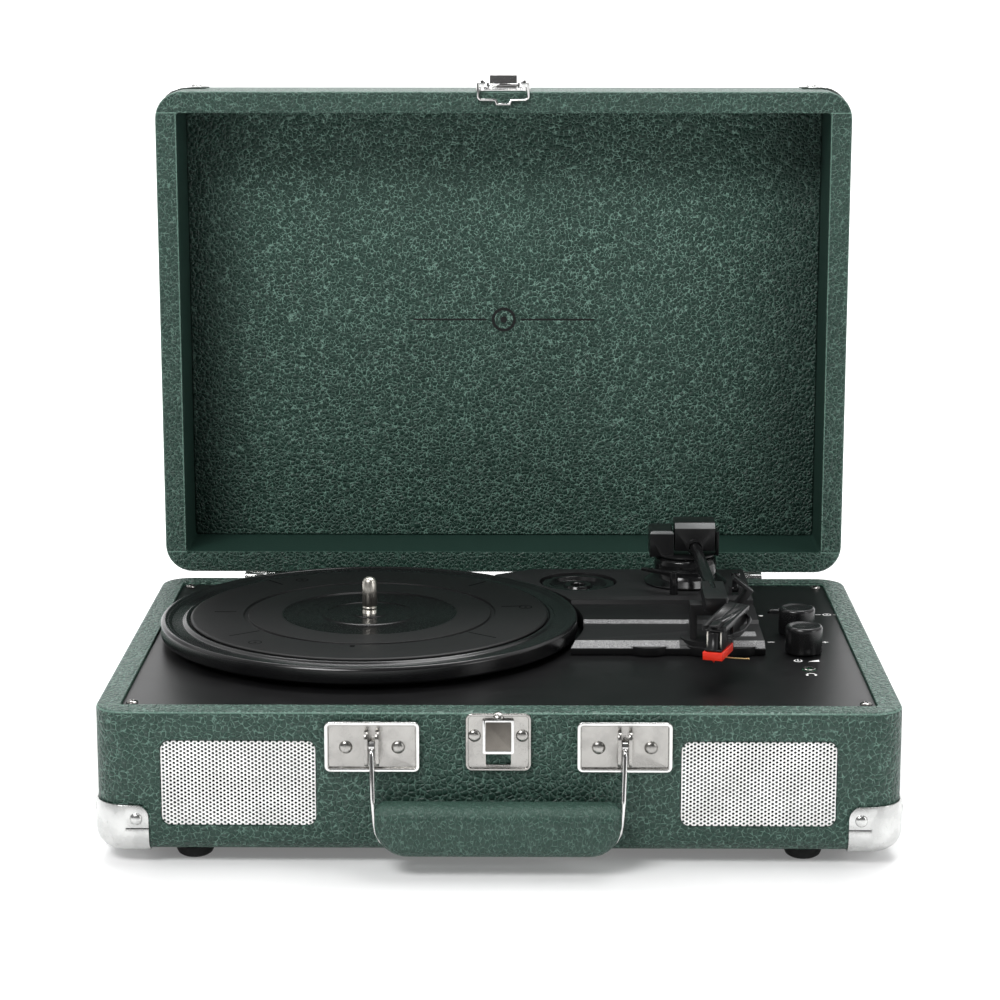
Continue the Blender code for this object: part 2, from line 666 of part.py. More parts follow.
def make_deck():
    deck = inner_form("deck_plate", DECK_UNDER, DECK_TOP, GAP)
    bush = turned("bearing_bush", [(SPINDLE_RADIUS + GAP, 70.6), (9, 70.6), (11, DECK_TOP - 0.5),
                                   (6.1, DECK_UNDER + 0.5), (6.1, 57), (SPINDLE_RADIUS + GAP, 57)],
                  (SPINDLE_X, SPINDLE_Y, 0), 16)
    cut(deck, rod("bush_hole", 5.0, (SPINDLE_X, SPINDLE_Y, DECK_UNDER - 2),
                  (SPINDLE_X, SPINDLE_Y, DECK_TOP + 2), sides=16))
    join(deck, bush)
    holes = [(MOTOR_X, MOTOR_Y, 6.5, 20),
             (KNOB_X, VOLUME_Y, 3.6, 16), (KNOB_X, SELECTOR_Y, 3.6, 16), (JACK_X, JACK_Y, 3.6, 16)]
    screws = []
    for end, y in (("front", -106.5), ("rear", 109.6)):
        for side, x in (("left", -161.8), ("right", 161.8)):
            holes.append((x, y, 1.8, 12))
            profile = [(0, 1.2), (1.8, 1.0), (2.6, 0.3), (1.5, 0.3), (1.5, -12), (0, -12)]
            screw = turned(f"deck_screw_{end}_{side}", profile, (x, y, DECK_TOP), 16)
            screws.append(finish(screw, NICKEL))
    for x, y, radius, sides in holes:
        cut(deck, rod("hole", radius, (x, y, DECK_UNDER - 2), (x, y, DECK_TOP + 2), sides=sides))
    cut(deck, box("switch_slot", (SWITCH_X - 3.4, SWITCH_Y - 1.9, DECK_UNDER - 1),
                  (SWITCH_X + 10.4, SWITCH_Y + 1.9, DECK_TOP + 1)))
    return [finish(deck, SATIN_BLACK)] + screws


def make_module():
    """The stepped moulding beside the platter, cut round to follow it."""
    floor = DECK_TOP + GAP
    profile = [(MODULE_FRONT, floor), (MODULE_BACK, floor), (MODULE_BACK, MODULE_TOP),
               (46, MODULE_TOP), (45.4, 76), (15, 76), (13, 74.5), (-18, 74.5),
               (MODULE_FRONT, 72)]
    left = -4.0
    middle = (left + MODULE_RIGHT) / 2
    module = slab("player_module", profile, MODULE_RIGHT - left, (middle, 0, 0), "SIDE")
    bay = rod("bay", PLATTER_RADIUS + 3.2, (SPINDLE_X, SPINDLE_Y, 50), (SPINDLE_X, SPINDLE_Y, 90),
              sides=64)
    corner = slab("corner", [(-20, 90), (18, 114), (-20, 120)], 40, (0, 0, 75))
    recess = rod("recess", ADAPTER_RADIUS + 0.7, (ADAPTER_X, ADAPTER_Y, 72.5),
                 (ADAPTER_X, ADAPTER_Y, 85), sides=32)
    cut(module, bay, corner, recess)
    for x in (70.0, 97.0, 112.0):
        boss = rod("boss", 11.0, (x, MODULE_FRONT + 8, floor), (x, MODULE_FRONT + 8, 73), sides=28)
        join(module, boss)
    rest = box("rest", (89.4, REST_Y - 5, 74), (104.4, REST_Y + 5, 91.6))
    cut(rest, box("underside", (92.6, REST_Y - 9, 70), (103.0, REST_Y + 9, 86.5)))
    base = rod("rest_base", 12.0, (97.0, REST_Y, 73), (97.0, REST_Y, 75.2), sides=28)
    join(module, base, rest)
    for dy in (-4.2, 4.2):
        join(module, box("lug", (104.2, REST_Y + dy - 0.8, 80), (CLIP_X + 1.8, REST_Y + dy + 0.8,
                                                                 CLIP_Z + 1.8)))
    join(module, box("leg", (104.2, REST_Y - 5, 74), (105.6, REST_Y + 5, 84)))
    join(module, rod("clip_pin", 0.8, (CLIP_X, REST_Y - 4.6, CLIP_Z),
                     (CLIP_X, REST_Y + 4.6, CLIP_Z), sides=12))
    for dx in (-2.4, 2.4):
        join(module, box("cue_lug", (CUE_X + dx - 0.7, CUE_Y - 2, MODULE_TOP - 1),
                         (CUE_X + dx + 0.7, CUE_Y + 2, CUE_Z + 1.6)))
    join(module, rod("cue_pin", 0.8, (CUE_X - 2.6, CUE_Y, CUE_Z), (CUE_X + 2.6, CUE_Y, CUE_Z),
                     sides=12))
    cut(module, rod("lift_bore", 2.3, (*lift_foot(), 70), (*lift_foot(), 90), sides=16))
    return finish(module, BLACK_PLASTIC)


def lift_foot():
    """Where the lift's stem stands, on the arc that the tube sweeps over."""
    angle = math.radians(-90 - 15)
    return (PIVOT_X + LIFT_RADIUS * math.cos(angle), PIVOT_Y + LIFT_RADIUS * math.sin(angle))


def make_adapter():
    profile = [(3.7, 76.0), (7.0, 76.6), (8.0, 75.2), (13.5, 75.2), (15.0, 77.2),
               (ADAPTER_RADIUS, 77.2), (ADAPTER_RADIUS, 72.9), (3.7, 72.9)]
    adapter = turned("adapter_45", [(r, z - 72.9) for r, z in profile],
                     (ADAPTER_X, ADAPTER_Y, 72.9), 24)
    return finish(adapter, BLACK_PLASTIC)


def make_platter():
    """Platter, mat and spindle turn together on the bearing bush."""
    middle = (SPINDLE_X, SPINDLE_Y, 0)
    bore = SPINDLE_RADIUS + GAP
    lip = PLATTER_TOP
    field = MAT_TOP - 1.2 - GAP
    profile = [(bore, field), (MAT_RADIUS + 0.6, field), (MAT_RADIUS + 1.0, lip - 0.5),
               (95.0, lip - 0.5), (95.6, lip), (PLATTER_RADIUS - 1.2, lip),
               (PLATTER_RADIUS, lip - 1.4), (PLATTER_RADIUS, PLATTER_UNDER),
               (PLATTER_RADIUS - 3, PLATTER_UNDER), (PLATTER_RADIUS - 3, 76.4),
               (BELT_RIM_RADIUS, 76.4), (BELT_RIM_RADIUS, 71.9), (BELT_RIM_RADIUS - 2, 71.9),
               (BELT_RIM_RADIUS - 2, 76.4), (9, 76.4), (9, 71.3), (bore, 71.3)]
    platter = turned("platter", profile, middle, 48)
    mat = turned("slip_mat", [(bore, MAT_TOP), (MAT_RADIUS, MAT_TOP), (MAT_RADIUS, MAT_TOP - 1.2),
                              (bore, MAT_TOP - 1.2)], middle, 48)
    spindle_profile = [(0, SPINDLE_TOP), (1.4, SPINDLE_TOP - 0.3), (2.6, SPINDLE_TOP - 1.4),
                       (SPINDLE_RADIUS, SPINDLE_TOP - 3.2), (SPINDLE_RADIUS, 56), (0, 56)]
    spindle = turned("spindle", spindle_profile, middle, 20)
    return finish(platter, BLACK_PLASTIC), finish(mat, RUBBER), finish(spindle, NICKEL)


def make_drive():
    """Motor under the deck, its pulley, and the belt round the platter's inner rim."""
    at = (MOTOR_X, MOTOR_Y, 0)
    can = turned("motor", [(0, 71.6), (1.0, 71.6), (1.0, 66.0), (4.4, 66.0), (4.4, 62.6), (16, 62.6),
                           (17, 61.6), (17, 42), (16, 41), (0, 41)], at, 18)
    pulley = turned("motor_pulley", [(1.3, 75.9), (5.0, 75.9), (5.0, 75.5), (PULLEY_RADIUS, 75.1),
                                     (PULLEY_RADIUS, 72.7), (5.0, 72.3), (5.0, 69.4), (1.3, 69.4)],
                    at, 14)
    apart = Vector((MOTOR_X - SPINDLE_X, MOTOR_Y - SPINDLE_Y))
    heading = math.degrees(math.atan2(apart.y, apart.x))
    thickness = 0.7

    def loop(offset):
        big = BELT_RIM_RADIUS + offset
        small = PULLEY_RADIUS + offset
        lean = math.degrees(math.acos((big - small) / apart.length))
        around = arc((SPINDLE_X, SPINDLE_Y), big, heading + lean, heading + 360 - lean, 28)
        return around + arc((MOTOR_X, MOTOR_Y), small, heading - lean, heading + lean, 8)

    belt = slab("drive_belt", loop(GAP + thickness), 2.0, (0, 0, BELT_LEVEL))
    cut(belt, slab("inside", loop(GAP), 6.0, (0, 0, BELT_LEVEL)))
    return finish(can, NICKEL), finish(pulley, NICKEL), finish(belt, RUBBER)


# ---------------------------------------------------------------- tonearm


def make_turret():
    profile = [(0, TURRET_TOP), (14.8, TURRET_TOP), (15.8, TURRET_TOP - 1), (15.8, 82.4),
               (21, MODULE_TOP + 1.2), (21, MODULE_TOP + GAP), (0, MODULE_TOP + GAP)]
    return finish(turned("arm_turret", profile, (PIVOT_X, PIVOT_Y, 0), 28), BLACK_PLASTIC)


def make_yoke():
    """The fork that swings on the turret and holds the arm's cross pin."""
    low = TURRET_TOP + GAP
    yoke = rod("arm_yoke", 14.6, (PIVOT_X, PIVOT_Y, low), (PIVOT_X, PIVOT_Y, low + 0.9),
               (PIVOT_X, PIVOT_Y, 0), sides=32)
    left = box("left_cheek", (74.6, 79, low), (86.6, 100, 105.4), crown=1.4)
    right = box("right_cheek", (108.0, 82, low), (109.6, 92, 104.6))
    bridge = box("bridge", (100, 83, low), (109.2, 91, low + 0.9))
    join(yoke, left, bridge, right)
    cut(yoke, rod("bore", 1.9, (82.0, 88, ARM_AXIS_Z), (115, 88, ARM_AXIS_Z), sides=16))
    return finish(yoke, BLACK_PLASTIC)


def make_arm():
    axis_point = (PIVOT_X, 88, ARM_AXIS_Z)
    outline = [(79.2, 95.4), (88, 94.9), (94, 97.6), (98, 101.6), (98, 108.2), (96.4, 109.4),
               (82.0, 109.4), (79.2, 106.8)]
    block = slab("arm_block", [(y - 88, z - ARM_AXIS_Z) for y, z in outline], 20.2,
                 (97.3, 88, ARM_AXIS_Z), "SIDE")
    join(block, rod("cross_pin", 1.5, (82.6, 88, ARM_AXIS_Z), (109.2, 88, ARM_AXIS_Z), sides=16))
    start = Vector((97.2, 84, TUBE_Z))
    end = Vector((100.2, -16.0, TUBE_Z - 0.6))
    tube = rod("arm_tube", TUBE_RADIUS, start, end, axis_point, sides=20)
    collar = rod("collar", 4.1, (97.3, 80, TUBE_Z + 0.4), (97.4, 76.6, TUBE_Z + 0.4), sides=20)
    cut(tube, box("trim", (80, 78.9, 80), (110, 110, 110)))
    cut(collar, rod("pass", TUBE_RADIUS + GAP, start, start + (end - start) * 0.2, sides=20))
    join(block, collar)
    cut(block, rod("socket", TUBE_RADIUS + GAP, start + (start - end) * 0.02,
                   start + (end - start) * 0.2, sides=20))
    return finish(block, BLACK_PLASTIC), finish(tube, BLACK_PLASTIC)


def make_head():
    """Headshell, cartridge and stylus, turned inwards from the tube's line."""
    turn = math.radians(-HEAD_TURN)
    along = Vector((-math.sin(turn), math.cos(turn), 0))
    across = Vector((along.y, -along.x, 0))
    tip = Vector((STYLUS_X, STYLUS_Y, 0))

    def outline(half_width, front, back, skew=0.0):
        spots = []
        for u, v in ((-half_width, front), (half_width, front), (half_width, back - skew),
                     (-half_width, back)):
            spot = tip + across * u + along * v
            spots.append((spot.x, spot.y))
        return spots

    shell = slab("headshell", outline(5.6, 1.0, 48, 4), 2.6, (0, 0, 96.2))
    for u in (-5.0, 5.0):
        side = tip + across * u
        first = side + along * 14
        second = side + along * 42
        normal = across * 0.6
        ends = [first - normal, first + normal, second + normal, second - normal]
        join(shell, slab("cheek", [(p.x, p.y) for p in ends], 4.2, (0, 0, 93.2)))
    neck = box("neck", (94.8, -38, 93.6), (105.6, -4, 99.8), upright=1.2)
    join(shell, neck)
    cut(shell, rod("tube_socket", TUBE_RADIUS + GAP, (99.2, 10, TUBE_Z - 0.45),
                   (100.3, -17, TUBE_Z - 0.6), sides=20))
    cartridge = slab("cartridge", outline(4.0, -0.4, 34), 8.6, (0, 0, 90.3))
    stylus = slab("stylus", outline(4.5, -1.2, 19), 3.6, (0, 0, 83.9))
    needle = turned("needle", [(0, 0.0), (0.9, 0.0), (0.5, -1.4), (0, -1.9)],
                    (STYLUS_X + along.x * 1.5, STYLUS_Y + along.y * 1.5, 82.4), 10)
    join(stylus, needle)
    return finish(shell, BLACK_PLASTIC), finish(cartridge, BLACK_PLASTIC), finish(stylus, RED_PLASTIC)


def make_clip():
    """The hook that holds the tube down on its rest. It leans outwards when it is open."""
    pivot = (CLIP_X, REST_Y, CLIP_Z)
    outline = [(-1.9, -1.6), (1.9, -1.6), (1.9, 16.2), (-9.6, 16.2), (-9.6, 14.6), (-1.2, 14.6),
               (-1.2, 1.6), (-1.9, 1.2)]
    clip = slab("arm_clip", outline, 6.0, (0, 0, 0), "FRONT")
    cut(clip, rod("bore", 1.1, (0, -9, 0), (0, 9, 0), sides=12))
    clip.location = metres(*pivot)
    clip.rotation_euler = (0, math.radians(38), 0)
    return finish(clip, BLACK_PLASTIC)


def make_lift():
    """The cue lever, and the curved platform that it raises under the tube."""
    lever = rod("cue_lever", 1.5, (CUE_X, CUE_Y, CUE_Z), (CUE_X, CUE_Y, CUE_Z + 7.6),
                (CUE_X, CUE_Y, CUE_Z), sides=14)
    join(lever, rod("hub", 1.6, (CUE_X - 1.4, CUE_Y, CUE_Z), (CUE_X + 1.4, CUE_Y, CUE_Z), sides=14),
         rod("head", 2.2, (CUE_X, CUE_Y, CUE_Z + 6.2), (CUE_X, CUE_Y, CUE_Z + 8.6), sides=16))
    cut(lever, rod("bore", 1.1, (CUE_X - 5, CUE_Y, CUE_Z), (CUE_X + 5, CUE_Y, CUE_Z), sides=12))
    top = TUBE_Z - TUBE_RADIUS - LIFT_TRAVEL - 0.7
    band = (arc((0, 0), LIFT_RADIUS + 1.5, -142, -82, 10)
            + arc((0, 0), LIFT_RADIUS - 1.5, -82, -142, 10))
    platform = slab("lift_platform", band, 1.6, (PIVOT_X, PIVOT_Y, top - 0.8))
    foot = lift_foot()
    join(platform, rod("stem", 2.0, (*foot, 72.0), (*foot, top - 0.5), sides=14))
    return finish(lever, BLACK_PLASTIC), finish(platform, NICKEL)


# ---------------------------------------------------------------- controls


def make_controls():
    profile = [(0, 12.6), (6.6, 12.7), (7.6, 13.1), (8.4, 12.7), (KNOB_RADIUS, 12.0),
               (KNOB_RADIUS, 0), (3.3, 0), (3.3, 8.6), (0, 8.6)]
    low = DECK_TOP + 0.4
    knobs = [finish(turned(name, profile, (KNOB_X, y, low), 24), BLACK_PLASTIC)
             for name, y in (("knob_volume", VOLUME_Y), ("knob_selector", SELECTOR_Y))]
    slider = box("input_slider", (SWITCH_X - 2.6, SWITCH_Y - 1.5, DECK_UNDER - 1.2),
                 (SWITCH_X + 2.6, SWITCH_Y + 1.5, DECK_TOP + 1.8), (SWITCH_X, SWITCH_Y, DECK_TOP),
                 crown=0.5)
    board = box("circuit_board", (122, -66, BOARD_TOP - 1.6), (160, 72, BOARD_TOP))
    for y in (VOLUME_Y, SELECTOR_Y):
        join(board, rod("control", 8.0, (KNOB_X, y, BOARD_TOP - 0.6), (KNOB_X, y, 63), sides=20),
             rod("shaft", 3.0, (KNOB_X, y, 62), (KNOB_X, y, low + 8.0), sides=14))
    join(board,
         rod("headphone_jack", 3.2, (JACK_X, JACK_Y, BOARD_TOP - 0.6), (JACK_X, JACK_Y, DECK_TOP),
             sides=20),
         box("switch_body", (SWITCH_X - 5, SWITCH_Y - 4, BOARD_TOP - 0.6),
             (SWITCH_X + 12, SWITCH_Y + 4, DECK_UNDER - 1.6)))
    cut(board, rod("jack_bore", 1.8, (JACK_X, JACK_Y, BOARD_TOP + 2), (JACK_X, JACK_Y, 80),
                   sides=14))
    return knobs, [finish(slider, BLACK_PLASTIC), finish(board, GREEN_PLASTIC)]


def make_sockets():
    """The plate on the back with the line outputs, the auxiliary input and the power inlet."""
    y = BACK + GAP
    plate = slab("rear_socket_panel", rounded(32, 13, 2), 1.2, (-70, y + 0.6, 38), "FRONT")
    for x, radius in ((-90, 4.2), (-76, 4.2), (-62, 4.6), (-49, 4.6)):
        body = rod("body", radius, (x, BACK - 14, 38), (x, y + 2.4, 38), sides=14)
        join(plate, body)
        cut(plate, rod("socket", 1.8, (x, BACK - 8, 38), (x, y + 6, 38), sides=10))
    return finish(plate, BLACK_PLASTIC)


# ---------------------------------------------------------------- assembly

origin = axis("case_origin", (0, SHIFT_Y, 0))
lid_axis = axis("lid_axis", (0, HINGE_Y, HINGE_Z))
latch_bail_axis = axis("latch_bail_axis", (0, BAIL_Y, BAIL_Z))
handle_axis = axis("handle_axis", (0, HANDLE_PIVOT_Y, HANDLE_PIVOT_Z))
platter_axis = axis("platter_axis", (SPINDLE_X, SPINDLE_Y, 0))
swing_axis = axis("arm_swing_axis", (PIVOT_X, PIVOT_Y, 0))
arm_axis = axis("arm_lift_axis", (PIVOT_X, 88, ARM_AXIS_Z))

hinge_fixed, hinge_swinging = make_hinges()
latch_plate, latch_lever, latch_bail = make_latch()
handle_bail, handle_grip = make_handle()
knobs, control_parts = make_controls()
cue_lever, lift_platform = make_lift()
motor, motor_pulley, drive_belt = make_drive()

fixed = make_base() + make_feet() + make_grilles() + make_brackets() + make_deck() + hinge_fixed
fixed += make_corner_caps("base", FOOT_HEIGHT, RIM_TOP, True)
fixed += [make_catch(), make_module(), make_adapter(), motor, drive_belt,
          make_turret(), make_sockets(), *control_parts, motor_pulley, cue_lever, lift_platform,
          make_clip(), *knobs]
carry(latch_bail_axis, latch_bail)
carry(lid_axis, *make_lid(), *make_corner_caps("lid", LID_RIM, LID_TOP, False), *hinge_swinging,
      latch_plate, latch_lever, latch_bail_axis)
carry(handle_axis, handle_bail, handle_grip)
carry(platter_axis, *make_platter())
carry(arm_axis, *make_arm(), *make_head())
carry(swing_axis, make_yoke(), arm_axis)
for piece in fixed + [lid_axis, handle_axis, platter_axis, swing_axis]:
    piece.parent = origin

lid_axis.rotation_euler = (math.radians(-LID_OPEN_ANGLE), 0, 0)
latch_bail_axis.rotation_euler = (math.radians(LID_OPEN_ANGLE), 0, 0)
bpy.context.view_layer.update()
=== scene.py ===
# %% [markdown]
# # A suitcase record player
# The player is a small case: a leatherette base with two speakers, a deck with a belt-driven
# platter, and a lid that stands open behind it. The mechanical model is loaded first and never
# moves. The cells below give its surfaces their finish and replace coarse parts by fine ones.

# %% Load the frame
import json
import math

import bmesh
import bpy
from mathutils import Matrix, Vector, noise


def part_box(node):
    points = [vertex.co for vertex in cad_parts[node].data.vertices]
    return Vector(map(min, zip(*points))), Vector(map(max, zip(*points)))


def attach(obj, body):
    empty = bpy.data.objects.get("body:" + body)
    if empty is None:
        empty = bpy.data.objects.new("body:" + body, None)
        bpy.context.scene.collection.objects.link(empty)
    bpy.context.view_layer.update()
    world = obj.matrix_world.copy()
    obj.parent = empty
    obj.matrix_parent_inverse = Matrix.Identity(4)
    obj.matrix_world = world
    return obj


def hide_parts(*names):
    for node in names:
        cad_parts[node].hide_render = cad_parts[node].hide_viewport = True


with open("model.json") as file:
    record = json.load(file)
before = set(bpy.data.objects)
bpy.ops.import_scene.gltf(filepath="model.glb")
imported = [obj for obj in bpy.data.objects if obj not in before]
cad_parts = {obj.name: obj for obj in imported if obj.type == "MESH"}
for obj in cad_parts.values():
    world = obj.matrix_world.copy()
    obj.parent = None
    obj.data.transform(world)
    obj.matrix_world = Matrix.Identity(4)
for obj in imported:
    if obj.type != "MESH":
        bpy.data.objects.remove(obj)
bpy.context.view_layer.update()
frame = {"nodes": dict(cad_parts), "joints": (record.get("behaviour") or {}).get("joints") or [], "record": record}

# %% [markdown]
# ## Working units
# The shapes are easier to think about in millimetres, measured from the middle of the case's base.
# One matrix takes a finished shape to the frame's metres, and `span` reads a node's corners in the
# same millimetres, so that a new piece takes its place and size from the part that it refines.

# %% Millimetres in the case's own frame
MM = 0.001
CASE_Y = sum(corner[1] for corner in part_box("base_shell")) / 2
TO_ROW = Matrix.Translation((0, CASE_Y, 0)) @ Matrix.Scale(MM, 4)
TO_CASE = TO_ROW.inverted()


def span(node):
    """The lowest and highest corner of a node, in millimetres in the case's frame."""
    return [TO_CASE @ Vector(corner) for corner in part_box(node)]


base_low, base_high = span("base_shell")
lid_low, lid_high = span("lid_shell")
deck_low, deck_high = span("deck_plate")
HALF_WIDTH = base_high.x
HALF_DEPTH = base_high.y
FRONT = base_low.y
RIM = base_high.z
FOOT = base_low.z
WALL = HALF_WIDTH - deck_high.x - 0.3
DECK = deck_high.z - 1.8
print("case", HALF_WIDTH * 2, "x", HALF_DEPTH * 2, "wall", round(WALL, 2), "deck", round(DECK, 2))

# %% [markdown]
# The lid stands open, but its shape is easier to model shut, as a box over the base. The hinge
# joint's own place gives the turn that stands it up.

# %% The lid's open place
hinge = next(joint for joint in frame["joints"] if joint["name"] == "lid_hinge")
HINGE = TO_CASE @ Vector(hinge["pos_m"])
OPEN = (Matrix.Translation(HINGE) @ Matrix.Rotation(math.radians(-90), 4, "X")
        @ Matrix.Translation(-HINGE))
LID_RIM = HINGE.z + lid_low.y - HINGE.y
LID_TOP = HINGE.z + lid_high.y - HINGE.y
print("shut lid from", round(LID_RIM, 2), "to", round(LID_TOP, 2))

# %% [markdown]
# ## Shape helpers
# Each helper starts a bmesh from a primitive or a few vertices and shapes it with operators. They
# return a bmesh, so that shapes can be gathered or carved before they become one piece.

# %% Boxes, bars and turned shapes


def bevel(bm, edges, width, segments, clamp=False):
    """Round some edges."""
    bmesh.ops.bevel(bm, geom=edges, offset=width, offset_type="OFFSET", segments=segments,
                    profile=0.5, affect="EDGES", clamp_overlap=clamp, material=-1)


def verts_in(result):
    """The vertices that an extrusion made."""
    return [item for item in result["geom"] if isinstance(item, bmesh.types.BMVert)]


def block(low, high, upright=0.0, lower=0.0, upper=0.0, segments=3):
    """A box between two corners, with its upright, lower and upper edges rounded."""
    low, high = Vector(low), Vector(high)
    bm = bmesh.new()
    bmesh.ops.create_cube(bm, size=1.0)
    bmesh.ops.scale(bm, vec=high - low, verts=bm.verts)
    bmesh.ops.translate(bm, vec=(low + high) / 2, verts=bm.verts)

    def level(edge, height):
        return all(abs(vert.co.z - height) < 1e-4 for vert in edge.verts)

    def soften(edges, radius):
        if radius > 0:
            bevel(bm, edges, radius, segments)

    soften([e for e in bm.edges if not level(e, low.z) and not level(e, high.z)], upright)
    soften([e for e in bm.edges if level(e, low.z)], lower)
    soften([e for e in bm.edges if level(e, high.z)], upper)
    return bm


def bar(start, end, radius, sides=24, tip=None):
    """A round bar between two points, which may taper to another radius."""
    start, end = Vector(start), Vector(end)
    along = end - start
    bm = bmesh.new()
    bmesh.ops.create_cone(bm, cap_ends=True, segments=sides, radius1=radius,
                          radius2=radius if tip is None else tip, depth=along.length)
    bmesh.ops.rotate(bm, cent=(0, 0, 0), matrix=along.to_track_quat("Z", "Y").to_matrix(),
                     verts=bm.verts)
    bmesh.ops.translate(bm, vec=(start + end) / 2, verts=bm.verts)
    return bm


def eased(points, radius, steps=3):
    """A closed outline with each corner replaced by a small curve."""
    spots = []
    count = len(points)
    for index, point in enumerate(points):
        here = Vector(point)
        before = Vector(points[index - 1]) - here
        after = Vector(points[(index + 1) % count]) - here
        reach = min(radius, 0.45 * before.length, 0.45 * after.length)
        first = here + before.normalized() * reach
        last = here + after.normalized() * reach
        for step in range(steps + 1):
            t = step / steps
            spots.append(first * (1 - t) ** 2 + here * (2 * t * (1 - t)) + last * t ** 2)
    return spots


def turned(profile, centre=(0, 0, 0), axis=(0, 0, 1), sides=64, ease=0.0):
    """A closed profile of (radius, height) pairs, spun right round an axis."""
    points = [Vector(pair) for pair in profile]
    if ease > 0:
        points = [Vector((max(p.x, 0), p.y)) for p in eased(points, ease)]
    bm = bmesh.new()
    verts = [bm.verts.new((point.x, 0, point.y)) for point in points]
    edges = []
    for first, second in zip(verts, verts[1:] + verts[:1]):
        if first.co.x > 1e-6 or second.co.x > 1e-6:
            edges.append(bm.edges.new((first, second)))
    bmesh.ops.spin(bm, geom=verts + edges, cent=(0, 0, 0), axis=(0, 0, 1), dvec=(0, 0, 0),
                   angle=math.tau, steps=sides, use_merge=True, use_duplicate=False)
    bmesh.ops.remove_doubles(bm, verts=bm.verts, dist=1e-4)
    bmesh.ops.recalc_face_normals(bm, faces=bm.faces)
    bmesh.ops.rotate(bm, cent=(0, 0, 0), matrix=Vector(axis).to_track_quat("Z", "Y").to_matrix(),
                     verts=bm.verts)
    bmesh.ops.translate(bm, vec=centre, verts=bm.verts)
    return bm


# %% Flat outlines and wires
PLANES = {
    "XY": Matrix.Identity(4),
    "XZ": Matrix(((1, 0, 0, 0), (0, 0, 1, 0), (0, 1, 0, 0), (0, 0, 0, 1))),
    "YZ": Matrix(((0, 0, 1, 0), (1, 0, 0, 0), (0, 1, 0, 0), (0, 0, 0, 1))),
}


def rounded(half_width, half_height, radius, centre=(0, 0), steps=6):
    """The outline of a rectangle with round corners."""
    points = []
    for quarter, (sx, sy) in enumerate(((1, 1), (-1, 1), (-1, -1), (1, -1))):
        for step in range(steps + 1):
            angle = math.radians(90 * quarter + 90 * step / steps)
            points.append((centre[0] + sx * (half_width - radius) + radius * math.cos(angle),
                           centre[1] + sy * (half_height - radius) + radius * math.sin(angle)))
    return points


def ring(radius, sides=32, centre=(0, 0)):
    """The outline of a circle."""
    return [(centre[0] + radius * math.cos(math.tau * n / sides),
             centre[1] + radius * math.sin(math.tau * n / sides)) for n in range(sides)]


def slab(outline, low, high, plane="XY", soft=0.0, segments=2):
    """A flat outline given a thickness, with its rims rounded."""
    bm = bmesh.new()
    verts = [bm.verts.new((point[0], point[1], low)) for point in outline]
    face = bm.faces.new(verts)
    grown = bmesh.ops.extrude_face_region(bm, geom=[face])
    bmesh.ops.translate(bm, vec=(0, 0, high - low), verts=verts_in(grown))
    if soft > 0:
        bevel(bm, [e for e in bm.edges if abs(e.verts[0].co.z - e.verts[1].co.z) < 1e-5],
              soft, segments)
    bm.transform(PLANES[plane])
    bm.normal_update()
    bmesh.ops.recalc_face_normals(bm, faces=bm.faces)
    return bm


def smooth_route(points, steps=6):
    """Points on one smooth curve through the given ones."""
    spots = [Vector(point) for point in points]
    padded = [spots[0] * 2 - spots[1], *spots, spots[-1] * 2 - spots[-2]]
    route = []
    for a, b, c, d in zip(padded, padded[1:], padded[2:], padded[3:]):
        for step in range(steps):
            t = step / steps
            route.append(0.5 * (2 * b + (c - a) * t + (2 * a - 5 * b + 4 * c - d) * t ** 2
                                + (3 * b - a - 3 * c + d) * t ** 3))
    return route + [spots[-1]]


def wire(points, radius, sides=10, steps=6):
    """A round wire along a smooth route, closed at its ends."""
    route = smooth_route(points, steps)
    bm = bmesh.new()
    loops = []
    up = Vector((0, 0, 1))
    for index, spot in enumerate(route):
        ahead = route[min(index + 1, len(route) - 1)] - route[max(index - 1, 0)]
        ahead.normalize()
        side = ahead.cross(up)
        side = side.normalized() if side.length > 0.05 else Vector((1, 0, 0))
        up = side.cross(ahead).normalized()
        loops.append([bm.verts.new(spot + radius * (side * math.cos(math.tau * n / sides)
                                                    + up * math.sin(math.tau * n / sides)))
                      for n in range(sides)])
    edges = [[bm.edges.new((a, b)) for a, b in zip(loop, loop[1:] + loop[:1])] for loop in loops]
    for first, second in zip(edges, edges[1:]):
        bmesh.ops.bridge_loops(bm, edges=first + second)
    bm.faces.new(loops[0])
    bm.faces.new(loops[-1])
    bmesh.ops.recalc_face_normals(bm, faces=bm.faces)
    return bm


# %% [markdown]
# Carving uses a Boolean modifier on two passing objects. Gathering puts shapes that touch into one
# bmesh. `from_node` copies a node's mesh, merges its loose triangles and rounds its sharp edges,
# which is all that a small bracket or plate needs to catch the light.

# %% Carving, gathering and refining


def about(centre, angle):
    """The place of a shape turned about an upright axis through a point."""
    return Matrix.Translation(centre) @ Matrix.Rotation(math.radians(angle), 4, "Z")


def footprint(node):
    """A node's lowest and highest corner, and the middle of its footprint at height 0."""
    low, high = span(node)
    return low, high, ((low.x + high.x) / 2, (low.y + high.y) / 2, 0)


def to_object(bm, name):
    mesh = bpy.data.meshes.new(name)
    bm.to_mesh(mesh)
    bm.free()
    body = bpy.data.objects.new(name, mesh)
    bpy.context.scene.collection.objects.link(body)
    return body


